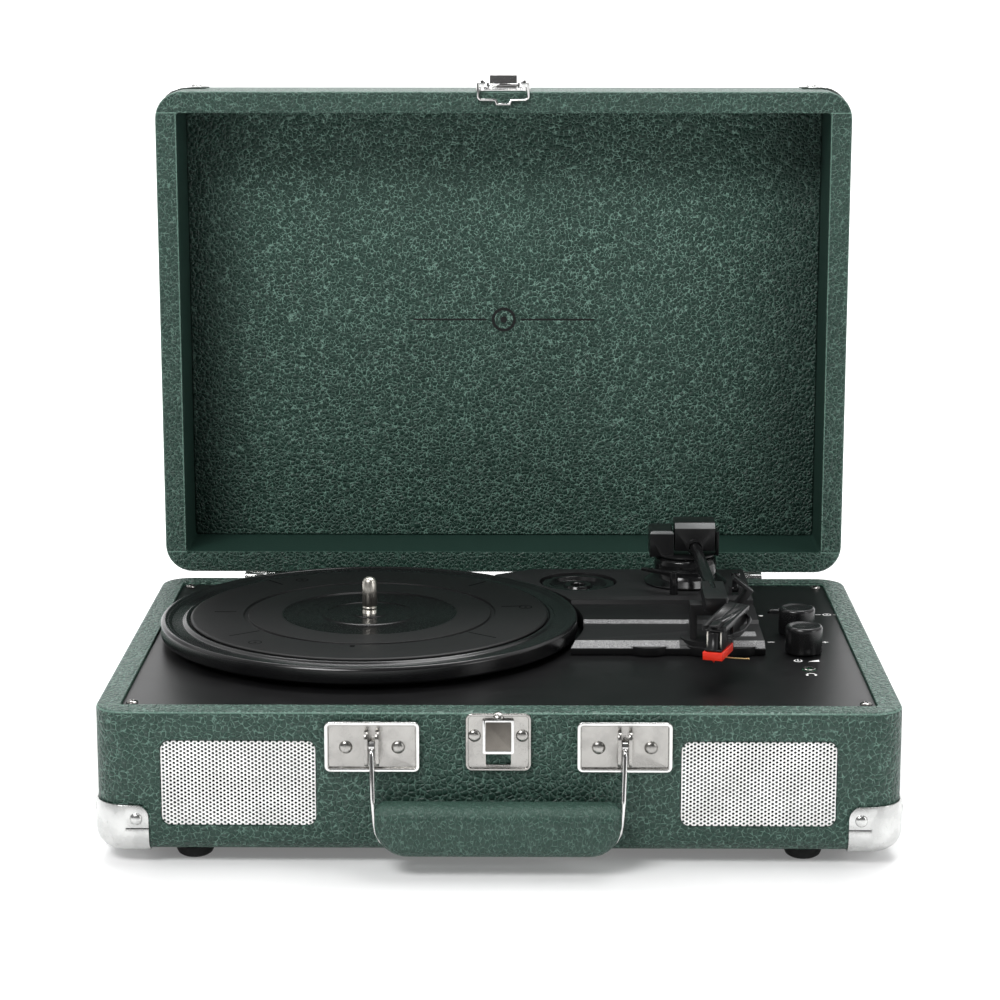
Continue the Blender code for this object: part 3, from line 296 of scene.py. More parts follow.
def carve(bm, *tools, operation="DIFFERENCE", solver="EXACT"):
    """Cut, join or keep the common part of a shape and some tools, which are used up."""
    for tool in tools:
        body = to_object(bm, "carved")
        other = to_object(tool, "tool")
        modifier = body.modifiers.new("Boolean", "BOOLEAN")
        modifier.operation = operation
        modifier.solver = solver
        modifier.object = other
        bpy.context.view_layer.update()
        seen = body.evaluated_get(bpy.context.evaluated_depsgraph_get())
        bm = bmesh.new()
        bm.from_mesh(seen.to_mesh())
        for used in (body, other):
            mesh = used.data
            bpy.data.objects.remove(used, do_unlink=True)
            bpy.data.meshes.remove(mesh)
    return bm


def gather(*shapes):
    """Several shapes in one bmesh."""
    whole = bmesh.new()
    for shape in shapes:
        mesh = bpy.data.meshes.new("passing")
        shape.to_mesh(mesh)
        shape.free()
        whole.from_mesh(mesh)
        bpy.data.meshes.remove(mesh)
    return whole


def round_edges(bm, width, segments=2, angle=30):
    """Round every edge sharper than an angle."""
    sharp = [e for e in bm.edges if e.is_manifold and e.calc_face_angle(0) > math.radians(angle)]
    bevel(bm, sharp, width, segments, clamp=True)
    return bm


def from_node(node, width=0.0, segments=2):
    """A merged copy of a node's mesh, in millimetres in the case's frame."""
    bm = bmesh.new()
    bm.from_mesh(frame["nodes"][node].data)
    bm.transform(TO_CASE)
    bmesh.ops.remove_doubles(bm, verts=bm.verts, dist=0.002)
    bmesh.ops.dissolve_limit(bm, angle_limit=math.radians(1.0), verts=bm.verts, edges=bm.edges)
    if width > 0:
        round_edges(bm, width, segments)
    return bm


def body_of(node):
    return next(name for name, body in frame["record"]["behaviour"]["bodies"].items()
                if node in body)


SLOT_OF = {part["node"]: part["material_slot"] for part in frame["record"]["subparts"]}


def piece(name, bm, look, stands_for=(), body=None, sharp=35, place=None):
    """Make a finished piece of a shape: its place, its finish, its body and what it replaces."""
    bmesh.ops.remove_doubles(bm, verts=bm.verts, dist=1e-4)
    if place is not None:
        bm.transform(place)
    bm.normal_update()
    bmesh.ops.recalc_face_normals(bm, faces=bm.faces)
    bm.transform(TO_ROW)
    made = to_object(bm, name)
    made.data.materials.append(look)
    made.data.shade_smooth()
    made.data.set_sharp_from_angle(angle=math.radians(sharp))
    stands_for = [stands_for] if isinstance(stands_for, str) else list(stands_for)
    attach(made, body or body_of(stands_for[0]))
    if stands_for:
        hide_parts(*stands_for)
    print(name, len(made.data.polygons), "faces on", body or body_of(stands_for[0]))
    return made


# %% [markdown]
# ## Shader helpers
# A pattern is a sum of masks and textures. `Value` wraps a socket so that the sum can be written
# as Python, and `Look` is a material whose one method adds any other node. Numbers that don't vary
# are set on the shader itself.

# %% Values and looks


class Value:
    """A number that varies over a surface. Each operator adds a Math node."""

    def __init__(self, look, socket):
        self.look = look
        self.socket = socket

    def math(self, operation, *others):
        return self.look.add("ShaderNodeMath", {"operation": operation}, [self, *others])

    def __add__(self, other):
        return self.math("ADD", other)

    def __radd__(self, other):
        return self.math("ADD", other)

    def __sub__(self, other):
        return self.math("SUBTRACT", other)

    def __rsub__(self, other):
        return (self * -1) + other

    def __mul__(self, other):
        return self.math("MULTIPLY", other)

    def __abs__(self):
        return self.math("ABSOLUTE")

    def lowest(self, other):
        return self.math("MINIMUM", other)

    def highest(self, other):
        return self.math("MAXIMUM", other)

    def fade(self, start, end):
        """0 before start and 1 after end, or the other way where end is the lower."""
        return self.look.add("ShaderNodeMapRange", {"interpolation_type": "SMOOTHSTEP"},
                             {"Value": self, "From Min": start, "From Max": end})


class Look:
    """A material with one shader, whose varying inputs are fed by patterns."""

    def __init__(self, name, colour, roughness=0.5, metallic=0.0, **fixed):
        self.material = bpy.data.materials.new(name)
        self.material.use_nodes = True
        self.tree = self.material.node_tree
        self.shader = self.tree.nodes["Principled BSDF"]
        self.shader.inputs["Base Color"].default_value = (*colour, 1.0)
        self.shader.inputs["Roughness"].default_value = roughness
        self.shader.inputs["Metallic"].default_value = metallic
        for socket, value in fixed.items():
            self.shader.inputs[socket.replace("_", " ")].default_value = value
        self.place = self.add("ShaderNodeTexCoord", {}, {}, "Object")
        spot = self.add("ShaderNodeVectorMath", {"operation": "SCALE"},
                        {0: self.place, "Scale": 1 / MM})
        spot = self.add("ShaderNodeVectorMath", {"operation": "SUBTRACT"},
                        [spot, (0, CASE_Y / MM, 0)])
        parts = self.tree.nodes.new("ShaderNodeSeparateXYZ")
        self.tree.links.new(spot.socket, parts.inputs[0])
        self.mm = spot
        self.x, self.y, self.z = (Value(self, parts.outputs[axis]) for axis in "XYZ")

    def add(self, kind, settings, inputs, output=0):
        """Add a node: its settings, then a value or a link for each socket."""
        node = self.tree.nodes.new(kind)
        for key, value in settings.items():
            setattr(node, key, value)
        pairs = inputs.items() if isinstance(inputs, dict) else enumerate(inputs)
        for key, value in pairs:
            if isinstance(value, Value):
                self.tree.links.new(value.socket, node.inputs[key])
            else:
                node.inputs[key].default_value = value
        return Value(self, node.outputs[output])

    def feed(self, **inputs):
        """Link patterns to the shader's inputs."""
        for key, value in inputs.items():
            self.tree.links.new(value.socket, self.shader.inputs[key.replace("_", " ")])
        return self

    def cloud(self, size, detail=3.0, stretch=(1, 1, 1), roughness=0.5):
        """Noise with blobs of about this many millimetres."""
        return self.add("ShaderNodeTexNoise", {},
                        {"Vector": self.stretched(stretch), "Scale": 1 / size, "Detail": detail,
                         "Roughness": roughness})

    def stretched(self, stretch):
        return self.add("ShaderNodeVectorMath", {"operation": "MULTIPLY"}, [self.mm, stretch])

    def warped(self, size, amount, stretch=(1, 1, 1)):
        """The place, shaken by noise."""
        noise_colour = self.add("ShaderNodeTexNoise", {},
                                {"Vector": self.mm, "Scale": 1 / size, "Detail": 2.0}, "Color")
        shaken = self.add("ShaderNodeVectorMath", {"operation": "MULTIPLY_ADD"},
                          [noise_colour, (amount, amount, amount), self.mm])
        return self.add("ShaderNodeVectorMath", {"operation": "MULTIPLY"}, [shaken, stretch])

    def mix(self, factor, first, second):
        """One colour where the factor is 0, another where it is 1."""
        settings = {"data_type": "RGBA"}
        pairs = {}
        for key, colour in ((6, first), (7, second)):
            pairs[key] = colour if isinstance(colour, Value) else (*colour, 1.0)
        return self.add("ShaderNodeMix", settings, {0: factor, **pairs}, 2)

    def bump(self, height, depth):
        """Surface relief: height 1 stands this many millimetres above height 0."""
        return self.add("ShaderNodeBump", {}, {"Strength": 1.0, "Distance": depth * MM,
                                               "Height": height})


print("helpers ready")

# %% [markdown]
# ## Leatherette
# The case is covered in embossed vinyl. Its grain is a net of fine creases around small pebbles,
# and the creases are painted lighter, a painted highlight for the light that they catch. A Voronoi
# texture gives both: the distance to a cell's edge draws the creases, and the cell's smooth
# distance domes the pebbles. The place is shaken by noise first, so that no cell looks like a
# honeycomb.

# %% The leatherette maker
VINYL = (0.016, 0.046, 0.034)
VINYL_CREASE_HIGHLIGHT = (0.22, 0.38, 0.31)
VINYL_PAINTED_SHADE = (0.007, 0.020, 0.016)


def leatherette(name, pebble, crease_highlight_share=0.55, stretch=(1, 1, 1), depth=0.16, masks=None):
    """Embossed vinyl, whose creases carry a painted highlight. masks maps "shade", "smooth" and
    "line" to where it has painted shade, has no grain or carries a light line; a light line is a real
    fold in some places and a painted highlight in others."""
    look = Look(name, VINYL, 0.42, Specular_IOR_Level=0.42)
    masks = masks or {}
    place = look.warped(pebble * 1.5, pebble * 1.0, stretch)
    creases = look.add("ShaderNodeTexVoronoi", {"feature": "DISTANCE_TO_EDGE"},
                       {"Vector": place, "Scale": 1 / pebble, "Randomness": 1.0})
    domes = look.add("ShaderNodeTexVoronoi", {"feature": "SMOOTH_F1"},
                     {"Vector": place, "Scale": 1 / pebble, "Smoothness": 0.3})
    fine = look.cloud(pebble * 0.3, 2.0)
    patch = look.cloud(pebble * 1.0, 2.0, roughness=0.7).fade(0.42, 0.60)
    line = creases.fade(0.11, 0.0) * (patch * 0.8 + 0.2)
    light = line * crease_highlight_share
    height = creases.fade(0.0, 0.30) * 0.6 - domes * 0.6 + fine * 0.3
    tone = look.cloud(30.0, 2.0).fade(0.3, 0.7)
    colour = look.mix(tone * 0.3, VINYL, (0.026, 0.070, 0.052))
    rough = fine * 0.16 + 0.34
    if "smooth" in masks:
        plain = masks["smooth"](look)
        light = light * (1 - plain)
        height = height * (1 - plain * 0.9)
        colour = look.mix(plain * 0.8, colour, (0.014, 0.042, 0.032))
        rough = rough + plain * 0.10
    # The line mask brings fold lines, and painted highlights on rim edges and on the grip's top.
    if "line" in masks:
        fold = masks["line"](look)
        light = light.highest(fold)
        height = height + fold * 0.4
    # Painted highlight: the creases and the light lines are painted in the light crease colour.
    colour = look.mix(light, colour, VINYL_CREASE_HIGHLIGHT)
    # Painted shade: the colour darkens where the shade mask says.
    if "shade" in masks:
        colour = look.mix(masks["shade"](look), colour, VINYL_PAINTED_SHADE)
    look.feed(Base_Color=colour, Roughness=rough, Normal=look.bump(height, depth))
    return look


# %% [markdown]
# The vinyl is pulled over every edge and folded at the corners. A fold shows as a thin line where
# one strip ends on another. The masks below draw those lines from the case's own edges, and also
# a painted highlight along the rim's rounded outer edges.

# %% Where the covering is folded or smooth, and where highlight and shade are painted
INNER_X = HALF_WIDTH - WALL
INNER_Y = HALF_DEPTH - WALL
INNER_LOW = HINGE.z + HINGE.y - INNER_Y
INNER_HIGH = HINGE.z + HINGE.y + INNER_Y


def strip(value, centre, width):
    """1 on a thin band around a value."""
    return abs(value - centre).fade(width, width * 0.4)


def inner_wall(look):
    """The lid's inside walls are covered in smooth vinyl. The mask has no far limit, so that it
    also leaves the lid's outer face without grain."""
    across = abs(look.x).fade(INNER_X + 0.6, INNER_X + 0.2)
    up = (look.z.fade(INNER_LOW - 0.6, INNER_LOW - 0.2)
          * look.z.fade(INNER_HIGH + 0.6, INNER_HIGH + 0.2))
    return across * up * look.y.fade(lid_low.y + 0.9, lid_low.y + 1.4)




def lid_folds_and_edge_highlight(look):
    """Light lines on the lid's rim: a painted highlight along its outer edge, and two fold lines at each corner of
    the opening.
    """
    face = look.y.fade(lid_low.y + 1.0, lid_low.y + 0.6)
    side = abs(look.x)
    ends = strip(look.z, INNER_LOW, 0.35).highest(strip(look.z, INNER_HIGH, 0.35))
    across = ends * side.fade(INNER_X - 0.5, INNER_X) * 0.7
    upright = strip(side, INNER_X + 0.4, 0.3) * look.z.fade(INNER_LOW, INNER_LOW + 1) * 0.6
    # Painted highlight along the rim's rounded outer edge.
    outer = strip(look.y, lid_low.y + 0.75, 0.55) * (1 - inner_wall(look))
    upright = upright * look.z.fade(INNER_HIGH + 0.4, INNER_HIGH)
    return across.highest(upright) * face + outer * 0.4


def base_folds_and_edge_highlight(look):
    """Light lines on the base: a painted highlight along its top edge, and a fold line across each side at the
    front.
    """
    # Painted highlight along the rounded top edge.
    edge = strip(look.z, RIM - 0.75, 0.5) * 0.5
    side = abs(look.x).fade(INNER_X - 0.5, INNER_X)
    across = strip(look.y, FRONT + WALL, 0.35) * side * look.z.fade(RIM - 1.2, RIM - 0.6)
    return edge.highest(across * 0.6)


base_vinyl = leatherette("vinyl_base", 2.4, 0.50, depth=0.62, masks={"line": base_folds_and_edge_highlight})
lid_vinyl = leatherette("vinyl_lid", 2.0, 0.48, depth=0.50,
                        masks={"smooth": inner_wall, "line": lid_folds_and_edge_highlight})
# The lining has painted shade towards its sides, where the lid's walls shade it.
lining_vinyl = leatherette("vinyl_lining", 2.05, 0.86, depth=0.60,
                           masks={"shade": lambda look: abs(look.x).fade(118, 160) * 0.45})
grip_top = span("handle_grip")[1].z
# The grip's top has a painted highlight: it is painted lighter where light falls on it from above.
grip_vinyl = leatherette("vinyl_grip", 2.1, 0.34, stretch=(1.35, 1, 0.75), depth=0.40,
                         masks={"line": lambda look: look.z.fade(grip_top - 5, grip_top - 1)
                               * 0.13})
print("leatherette looks:", [look.material.name for look in (base_vinyl, lid_vinyl, lining_vinyl)])

# %% [markdown]
# ## Metals, plastics and rubber
# Plated steel is bright but not a mirror: slow changes in roughness keep it soft. The black
# plastics differ mostly in gloss and in how coarse their spark-eroded texture is.

# %% Metals


def plated(name, colour, roughness, grain=0.4, depth=0.004, streak=(1, 1, 1)):
    """Bright plated metal with slow clouds and a faint grain."""
    look = Look(name, colour, roughness, 1.0)
    slow = look.cloud(9.0, 2.0)
    fine = look.cloud(grain, 3.0, streak)
    darker = tuple(channel * 0.62 for channel in colour)
    cloudy = slow.fade(0.35, 0.7) * 0.4 + fine.fade(0.35, 0.7) * 0.3
    look.feed(Base_Color=look.mix(cloudy, colour, darker),
              Roughness=roughness * 0.7 + slow * roughness * 0.5 + fine * 0.08,
              Normal=look.bump(fine, depth))
    return look


chrome = plated("chrome_bright", (0.82, 0.82, 0.81), 0.09)
chrome_cap = plated("chrome_satin", (0.68, 0.685, 0.675), 0.24, 0.3, 0.006)
pressed = plated("steel_pressed", (0.44, 0.43, 0.41), 0.24, 0.3, 0.03)
tongue_steel = plated("steel_tongue", (0.20, 0.185, 0.165), 0.34, 0.3, 0.03)
nickel = plated("nickel_turned", (0.76, 0.73, 0.66), 0.30, 0.3, 0.01, (1, 1, 6))
brass = plated("brass_wire", (0.80, 0.56, 0.26), 0.28)

# %% Plastics and rubber


def plastic(name, colour, roughness, grain=0.5, depth=0.01, gloss=0.28, **fixed):
    """Moulded plastic with a fine texture and slightly uneven gloss."""
    look = Look(name, colour, roughness, Specular_IOR_Level=gloss, **fixed)
    fine = look.cloud(grain, 3.0)
    slow = look.cloud(14.0, 2.0)
    lighter = tuple(channel * 1.3 + 0.001 for channel in colour)
    look.feed(Base_Color=look.mix(slow.fade(0.35, 0.7) * 0.6, colour, lighter),
              Roughness=roughness * 0.94 + slow * roughness * 0.12 + fine * 0.05,
              Normal=look.bump(fine, depth))
    return look


ARM_BLACK = (0.0085, 0.0085, 0.009)
gloss_black = plastic("black_gloss", (0.006, 0.006, 0.0065), 0.16, 0.8, 0.004, 0.5)
arm_black = plastic("black_arm", ARM_BLACK, 0.27, 0.5, 0.010, 0.35)
satin_black = plastic("black_satin", (0.009, 0.009, 0.0095), 0.40, 0.35, 0.012)
knob_black = plastic("black_knob", (0.0065, 0.0065, 0.007), 0.24, 0.4, 0.006, 0.6)
rubber = plastic("rubber_black", (0.006, 0.006, 0.006), 0.62, 0.3, 0.03, 0.25)
cloth = plastic("speaker_cloth", (0.002, 0.002, 0.002), 0.9, 0.4, 0.1, 0.02)
hardboard = plastic("hardboard_black", (0.020, 0.019, 0.018), 0.8, 0.9, 0.05, 0.2)
board_green = plastic("board_green", (0.02, 0.10, 0.05), 0.35, 0.5, 0.01)
white_paint = plastic("paint_white", (0.90, 0.90, 0.89), 0.42, 0.3, 0.006)
stylus_red = plastic("red_stylus", (0.83, 0.035, 0.015), 0.30, 0.4, 0.006,
                     Subsurface_Weight=0.15, Subsurface_Scale=0.002)
print(len(bpy.data.materials), "materials")

# %% [markdown]
# ## The stage
# A pale floor bends up behind the player. One broad soft light comes from the front and above,
# weaker ones come from the top and the right, and a strong one whitens the backdrop. The sky is dim
# in front and bright behind, so that the plated parts have both to mirror. The camera is far off
# with a long lens, a little above the deck.

# %% Camera
FOCAL = 97.825
CAMERA_AT = (0.0112, -1.27464, 0.40277)
CAMERA_TILT = math.radians(78.146)
CAMERA_PAN = 0.00925
camera = bpy.data.objects.new("camera", bpy.data.cameras.new("camera"))
camera.data.lens = FOCAL
camera.data.sensor_width = 36.0
camera.data.clip_end = 20.0
camera.location = CAMERA_AT
camera.rotation_euler = (CAMERA_TILT, 0, CAMERA_PAN)
bpy.context.scene.collection.objects.link(camera)
bpy.context.scene.camera = camera
print("camera", FOCAL, "mm lens at", CAMERA_AT)

# %% Floor
FLOOR_BACK = 4.0
FLOOR_FORWARD = 12
FLOOR_BEND = 1.6
floor_look = Look("floor_paint", (0.88, 0.88, 0.88), 0.55, Emission_Strength=0.22)
speck = floor_look.cloud(400.0, 2.0)
tone = floor_look.mix(speck, (0.79, 0.79, 0.795), (0.82, 0.82, 0.82))
floor_look.feed(Base_Color=tone, Emission_Color=tone)
bm = bmesh.new()
bmesh.ops.create_grid(bm, x_segments=1, y_segments=1, size=FLOOR_BACK)
bmesh.ops.scale(bm, vec=(4, 1, 1), verts=bm.verts)
bmesh.ops.translate(bm, vec=(0, -FLOOR_FORWARD, 0),
                    verts=[vert for vert in bm.verts if vert.co.y < 0])
back = [edge for edge in bm.edges if all(vert.co.y > FLOOR_BACK - 0.1 for vert in edge.verts)]
raised = bmesh.ops.extrude_edge_only(bm, edges=back)
bmesh.ops.translate(bm, vec=(0, 0, FLOOR_BACK), verts=verts_in(raised))
crease = [e for e in bm.edges
          if all(abs(v.co.y - FLOOR_BACK) < 1e-4 and v.co.z < 1e-4 for v in e.verts)]
bevel(bm, crease, FLOOR_BEND, 24)
floor = to_object(bm, "floor")
floor.data.materials.append(floor_look.material)
floor.data.shade_smooth()
bpy.context.scene.view_settings.view_transform = "Standard"
print("floor", len(floor.data.polygons), "faces")

# %% Lights
world = bpy.data.worlds.new("studio")
bpy.context.scene.world = world
world.use_nodes = True
sky = world.node_tree.nodes
facing = sky.new("ShaderNodeTexCoord")
split = sky.new("ShaderNodeSeparateXYZ")
level = sky.new("ShaderNodeMapRange")
for socket, value in (("From Min", -0.35), ("From Max", 0.45), ("To Min", 0.10), ("To Max", 1.0)):
    level.inputs[socket].default_value = value
level.interpolation_type = "SMOOTHSTEP"
world.node_tree.links.new(facing.outputs["Generated"], split.inputs[0])
world.node_tree.links.new(split.outputs["Y"], level.inputs["Value"])
world.node_tree.links.new(level.outputs[0], sky["Background"].inputs["Color"])
sky["Background"].inputs["Strength"].default_value = 1.0


def softbox(name, location, aim, size, power):
    """A square area light that faces a point."""
    lamp = bpy.data.lights.new(name, "AREA")
    lamp.shape = "RECTANGLE"
    lamp.size, lamp.size_y = size
    lamp.energy = power
    light = bpy.data.objects.new(name, lamp)
    light.location = location
    heading = Vector(aim) - Vector(location)
    light.rotation_euler = heading.to_track_quat("-Z", "Y").to_euler()
    bpy.context.scene.collection.objects.link(light)
    return light


softbox("key_light", (-0.8, -1.3, 1.7), (0, 0, 0.1), (0.9, 0.7), 30)
softbox("top_light", (0.5, 0.2, 1.9), (0, 0.0, 0), (1.2, 0.8), 13)
softbox("right_light", (1.7, -0.9, 0.8), (0, 0, 0.1), (0.5, 1.2), 8)
softbox("backdrop_light", (0, 1.6, 3.2), (0, 3.4, 0.3), (3.0, 1.0), 160)
print("stage set")

# %% [markdown]
# ## The case
# The base and the lid are the same rounded box. The rim's edges are tight where the vinyl is
# pulled over them, and the far edges are generous. Both are carved hollow, and the base also gets
# its two speaker windows, whose lips are rounded because the vinyl is pressed down there.

# %% Base box
CORNER = 14.0
SHELL_EDGE = 8.0
RIM_EDGE = 1.5
INNER_CORNER = 1.6
BACK = base_high.y


def case_form(grow, low, high, lower, upper, segments=8):
    """The case's rounded outline, grown outwards evenly."""
    return block((-HALF_WIDTH - grow, -HALF_DEPTH - grow, low),
                 (HALF_WIDTH + grow, HALF_DEPTH + grow, high),
                 upright=CORNER + grow, lower=lower, upper=upper, segments=segments)


def inner_form(low, high):
    """The hollow of the base or the lid."""
    return block((-INNER_X, -INNER_Y, low), (INNER_X, INNER_Y, high), upright=INNER_CORNER)


def grille_place(side):
    low, high = span(f"grille_{side}")
    return (low + high) / 2, (high - low) / 2


def soften_lips(bm, middle, half, width):
    """Round the edges of a window where they meet the front face."""
    lips = [e for e in bm.edges
            if all(abs(v.co.y - FRONT) < 0.01 and abs(v.co.x - middle.x) < half.x + 1
                   and abs(v.co.z - middle.z) < half.z + 1 for v in e.verts)]
    bevel(bm, lips, width, 3)


shell = carve(case_form(0, FOOT, RIM, SHELL_EDGE, RIM_EDGE), inner_form(FOOT - 5, RIM + 5),
              block((-98, BACK - 20, 28), (-42, BACK + 5, 48)))
for side in ("left", "right"):
    middle, half = grille_place(side)
    centre = (middle.x, middle.z)
    window = rounded(half.x - 2, half.z - 2, 3, centre)
    seat = rounded(half.x + 0.3, half.z + 0.3, 4.3, centre)
    shell = carve(shell, slab(window, FRONT - 9, FRONT + 19, "XZ"),
                  slab(seat, FRONT - 9, FRONT + 2, "XZ"))
    soften_lips(shell, middle, half, 0.9)
piece("base_box", shell, base_vinyl.material, "base_shell", sharp=50)

# %% Lid box and its lining
LID_SKIN = 1.6
shell = carve(case_form(0, LID_RIM, LID_TOP, RIM_EDGE, SHELL_EDGE),
              inner_form(LID_RIM - 5, LID_TOP - LID_SKIN))
piece("lid_box", shell, lid_vinyl.material, "lid_shell", sharp=50, place=OPEN)

lining_low, lining_high = span("lid_lining")
LINING_FRONT = LID_RIM + lining_low.y - lid_low.y
LINING_BACK = LID_RIM + lining_high.y - lid_low.y
LINING_GAP = 0.3
reach_x, reach_y = INNER_X - LINING_GAP, INNER_Y - LINING_GAP
panel = block((-reach_x, -reach_y, LINING_FRONT), (reach_x, reach_y, LINING_BACK),
              upright=INNER_CORNER - LINING_GAP, lower=0.5)
piece("lid_panel", panel, lining_vinyl.material, "lid_lining", place=OPEN)

# %% [markdown]
# A plain printed mark sits in the middle of the lining: a small ring between two thin bars. It is
# a shallow inlay, so that it keeps a crisp edge at any distance.

# %% Mark on the lining
MARK_Z = 200.5
INK = 0.12
mark_ink = plastic("ink_black", (0.008, 0.009, 0.009), 0.5, 0.4, 0.01)
mark = carve(slab(ring(6.4, 64), -INK, 0.2), slab(ring(4.9, 64), -1, 1))
mark = gather(mark, slab(ring(1.7, 32), -INK, 0.2))
for side in (-1, 1):
    mark = gather(mark, slab(rounded(19.5, 0.45, 0.4, (side * 28.5, 0)), -INK, 0.2))
stand = Matrix.Translation((0, HINGE.y + LINING_FRONT - HINGE.z, MARK_Z)) @ PLANES["XZ"]
piece("lid_mark", mark, mark_ink.material, body="lid", place=stand)

# %% [markdown]
# ## Metal corners
# Each corner is pressed from thin plated sheet that wraps three faces of the case. The skin is the
# case's own outline grown by the sheet's thickness, with the outline itself taken out, kept where
# the blank reaches. A slit shows where the sheet's two arms meet, and a domed rivet holds each arm.

# %% Corner maker
CAP_GAP = 0.3
CAP_METAL = 0.8
CAP_WIDTH = 23.7
CAP_HEIGHT = 22.0
SLIT_IN, SLIT_UP, SLIT_HALF = 13.6, 11.2, 0.16
RIVET_IN, RIVET_UP = 18.3, 15.5
RIVET = [(0, 1.3), (1.2, 1.2), (2.1, 0.85), (2.65, 0.35), (2.8, 0), (2.8, -0.5), (0, -0.5)]


def rivet(centre, facing, size=1.0):
    """A domed rivet head."""
    return turned([(r * size, h * size) for r, h in RIVET], centre, facing, 28)


def corner(low, high, at_foot, sx, sy):
    """One metal corner of a box between two levels."""
    outer = CAP_GAP + CAP_METAL
    if at_foot:
        spans = [(low - grow, high + 50, SHELL_EDGE + grow, 0) for grow in (outer, CAP_GAP)]
        kept = (low - 5, low + CAP_HEIGHT)
        rounding = {"upper": 6.0}
        level = low
        up = 1
    else:
        spans = [(low - 50, high + grow, 0, SHELL_EDGE + grow) for grow in (outer, CAP_GAP)]
        kept = (high - CAP_HEIGHT, high + 5)
        rounding = {"lower": 6.0}
        level = high
        up = -1
    skin = carve(case_form(outer, *spans[0]), case_form(CAP_GAP, *spans[1]))
    xs = sorted((sx * (HALF_WIDTH - CAP_WIDTH), sx * (HALF_WIDTH + 5)))
    ys = sorted((sy * (HALF_DEPTH - CAP_WIDTH), sy * (HALF_DEPTH + 5)))
    blank = block((xs[0], ys[0], kept[0]), (xs[1], ys[1], kept[1]), segments=6, **rounding)
    skin = carve(skin, blank, operation="INTERSECT")
    slit_x = sorted((sx * (HALF_WIDTH - CAP_WIDTH - 1), sx * (HALF_WIDTH - SLIT_IN)))
    slit_y = sorted((sy * (HALF_DEPTH - 3), sy * (HALF_DEPTH + 5)))
    slit_z = level + up * SLIT_UP
    skin = carve(skin, block((slit_x[0], slit_y[0], slit_z - SLIT_HALF),
                             (slit_x[1], slit_y[1], slit_z + SLIT_HALF)))
    round_edges(skin, 0.14, 2, 50)
    z = level + up * RIVET_UP
    on_face = rivet((sx * (HALF_WIDTH - RIVET_IN), sy * (HALF_DEPTH + outer), z), (0, sy, 0))
    on_side = rivet((sx * (HALF_WIDTH + outer), sy * (HALF_DEPTH - RIVET_IN), z), (sx, 0, 0))
    return gather(skin, on_face, on_side)


# %% The eight corners
CORNERS = ("front_left", "front_right", "rear_left", "rear_right")
for end, sy in (("front", -1), ("rear", 1)):
    for side, sx in (("left", -1), ("right", 1)):
        name = f"corner_{end}_{side}"
        piece(f"base_cap_{end}_{side}", corner(FOOT, RIM, True, sx, sy), chrome_cap.material,
              f"base_{name}")
        piece(f"lid_cap_{end}_{side}", corner(LID_RIM, LID_TOP, False, sx, sy), chrome_cap.material,
              f"lid_{name}", place=OPEN)

# %% [markdown]
# ## Grilles
# Each grille is a thin sheet, painted white and punched with round holes in staggered columns. One
# Boolean punches them all. The holes near the border are cut by it, as on sheet that is punched
# first and cut to size afterwards. Black speaker cloth lies just behind.

# %% Punched sheets
PITCH_X = 1.56
PITCH_Z = 1.80
HOLE = 0.65
for side in ("left", "right"):
    middle, half = grille_place(side)
    centre = (middle.x, middle.z)
    outline = rounded(half.x, half.z, 4.0, centre)
    sheet = slab(outline, middle.y - half.y, middle.y + half.y, "XZ", soft=0.2)
    punches = bmesh.new()
    columns = int(half.x / PITCH_X)
    rows = int(half.z / PITCH_Z) + 1
    for column in range(-columns, columns + 1):
        for row in range(-rows, rows + 1):
            x = column * PITCH_X
            z = (row + 0.5 * (column % 2)) * PITCH_Z
            corner_in = max(abs(x) - half.x + 4.0, 0) ** 2 + max(abs(z) - half.z + 4.0, 0) ** 2
            if abs(x) > half.x - 0.2 or abs(z) > half.z + 0.3 or corner_in > 3.9 ** 2:
                continue
            turn = Matrix.Translation((middle.x + x, middle.y, middle.z + z)) @ Matrix.Rotation(
                math.radians(90), 4, "X")
            bmesh.ops.create_cone(punches, cap_ends=True, segments=10, radius1=HOLE, radius2=HOLE,
                                  depth=3, matrix=turn)
    sheet = carve(sheet, punches, solver="MANIFOLD")
    piece(f"grille_sheet_{side}", sheet, white_paint.material, f"grille_{side}", sharp=50)
    backing = slab(rounded(half.x - 2.4, half.z - 2.4, 2.6, centre), middle.y + half.y + 0.5,
                   middle.y + half.y + 1.1, "XZ")
    piece(f"speaker_cloth_{side}", backing, cloth.material, body="case")

# %% [markdown]
# ## Handle brackets and catch
# Both are plates pressed with a raised border. The plate is a flat outline whose border is inset
# and pulled forward, and every edge is rounded, because the bright lines along these edges are
# most of what one sees.

# %% Bordered plates


def bordered(outline, back, front, border, rise, plane="XZ"):
    """A plate with a raised border: its face is inset, and the ring around it pulled out."""
    bm = bmesh.new()
    face = bm.faces.new([bm.verts.new((point[0], point[1], 0)) for point in outline])
    grown = bmesh.ops.extrude_face_region(bm, geom=[face])
    top = [item for item in grown["geom"] if isinstance(item, bmesh.types.BMFace)][0]
    bmesh.ops.translate(bm, vec=(0, 0, back - front), verts=top.verts)
    inner = bmesh.ops.inset_region(bm, faces=[top], thickness=border, use_even_offset=True)
    ring_faces = inner["faces"]
    pulled = bmesh.ops.extrude_face_region(bm, geom=ring_faces)
    bmesh.ops.translate(bm, vec=(0, 0, rise), verts=verts_in(pulled))
    bmesh.ops.delete(bm, geom=ring_faces, context="FACES")
    bmesh.ops.recalc_face_normals(bm, faces=bm.faces)
    round_edges(bm, 0.28, 3, 50)
    bmesh.ops.scale(bm, vec=(1, 1, -1), verts=bm.verts)
    bmesh.ops.translate(bm, vec=(0, 0, back), verts=bm.verts)
    bm.transform(PLANES[plane])
    bm.normal_update()
    bmesh.ops.recalc_face_normals(bm, faces=bm.faces)
    return bm


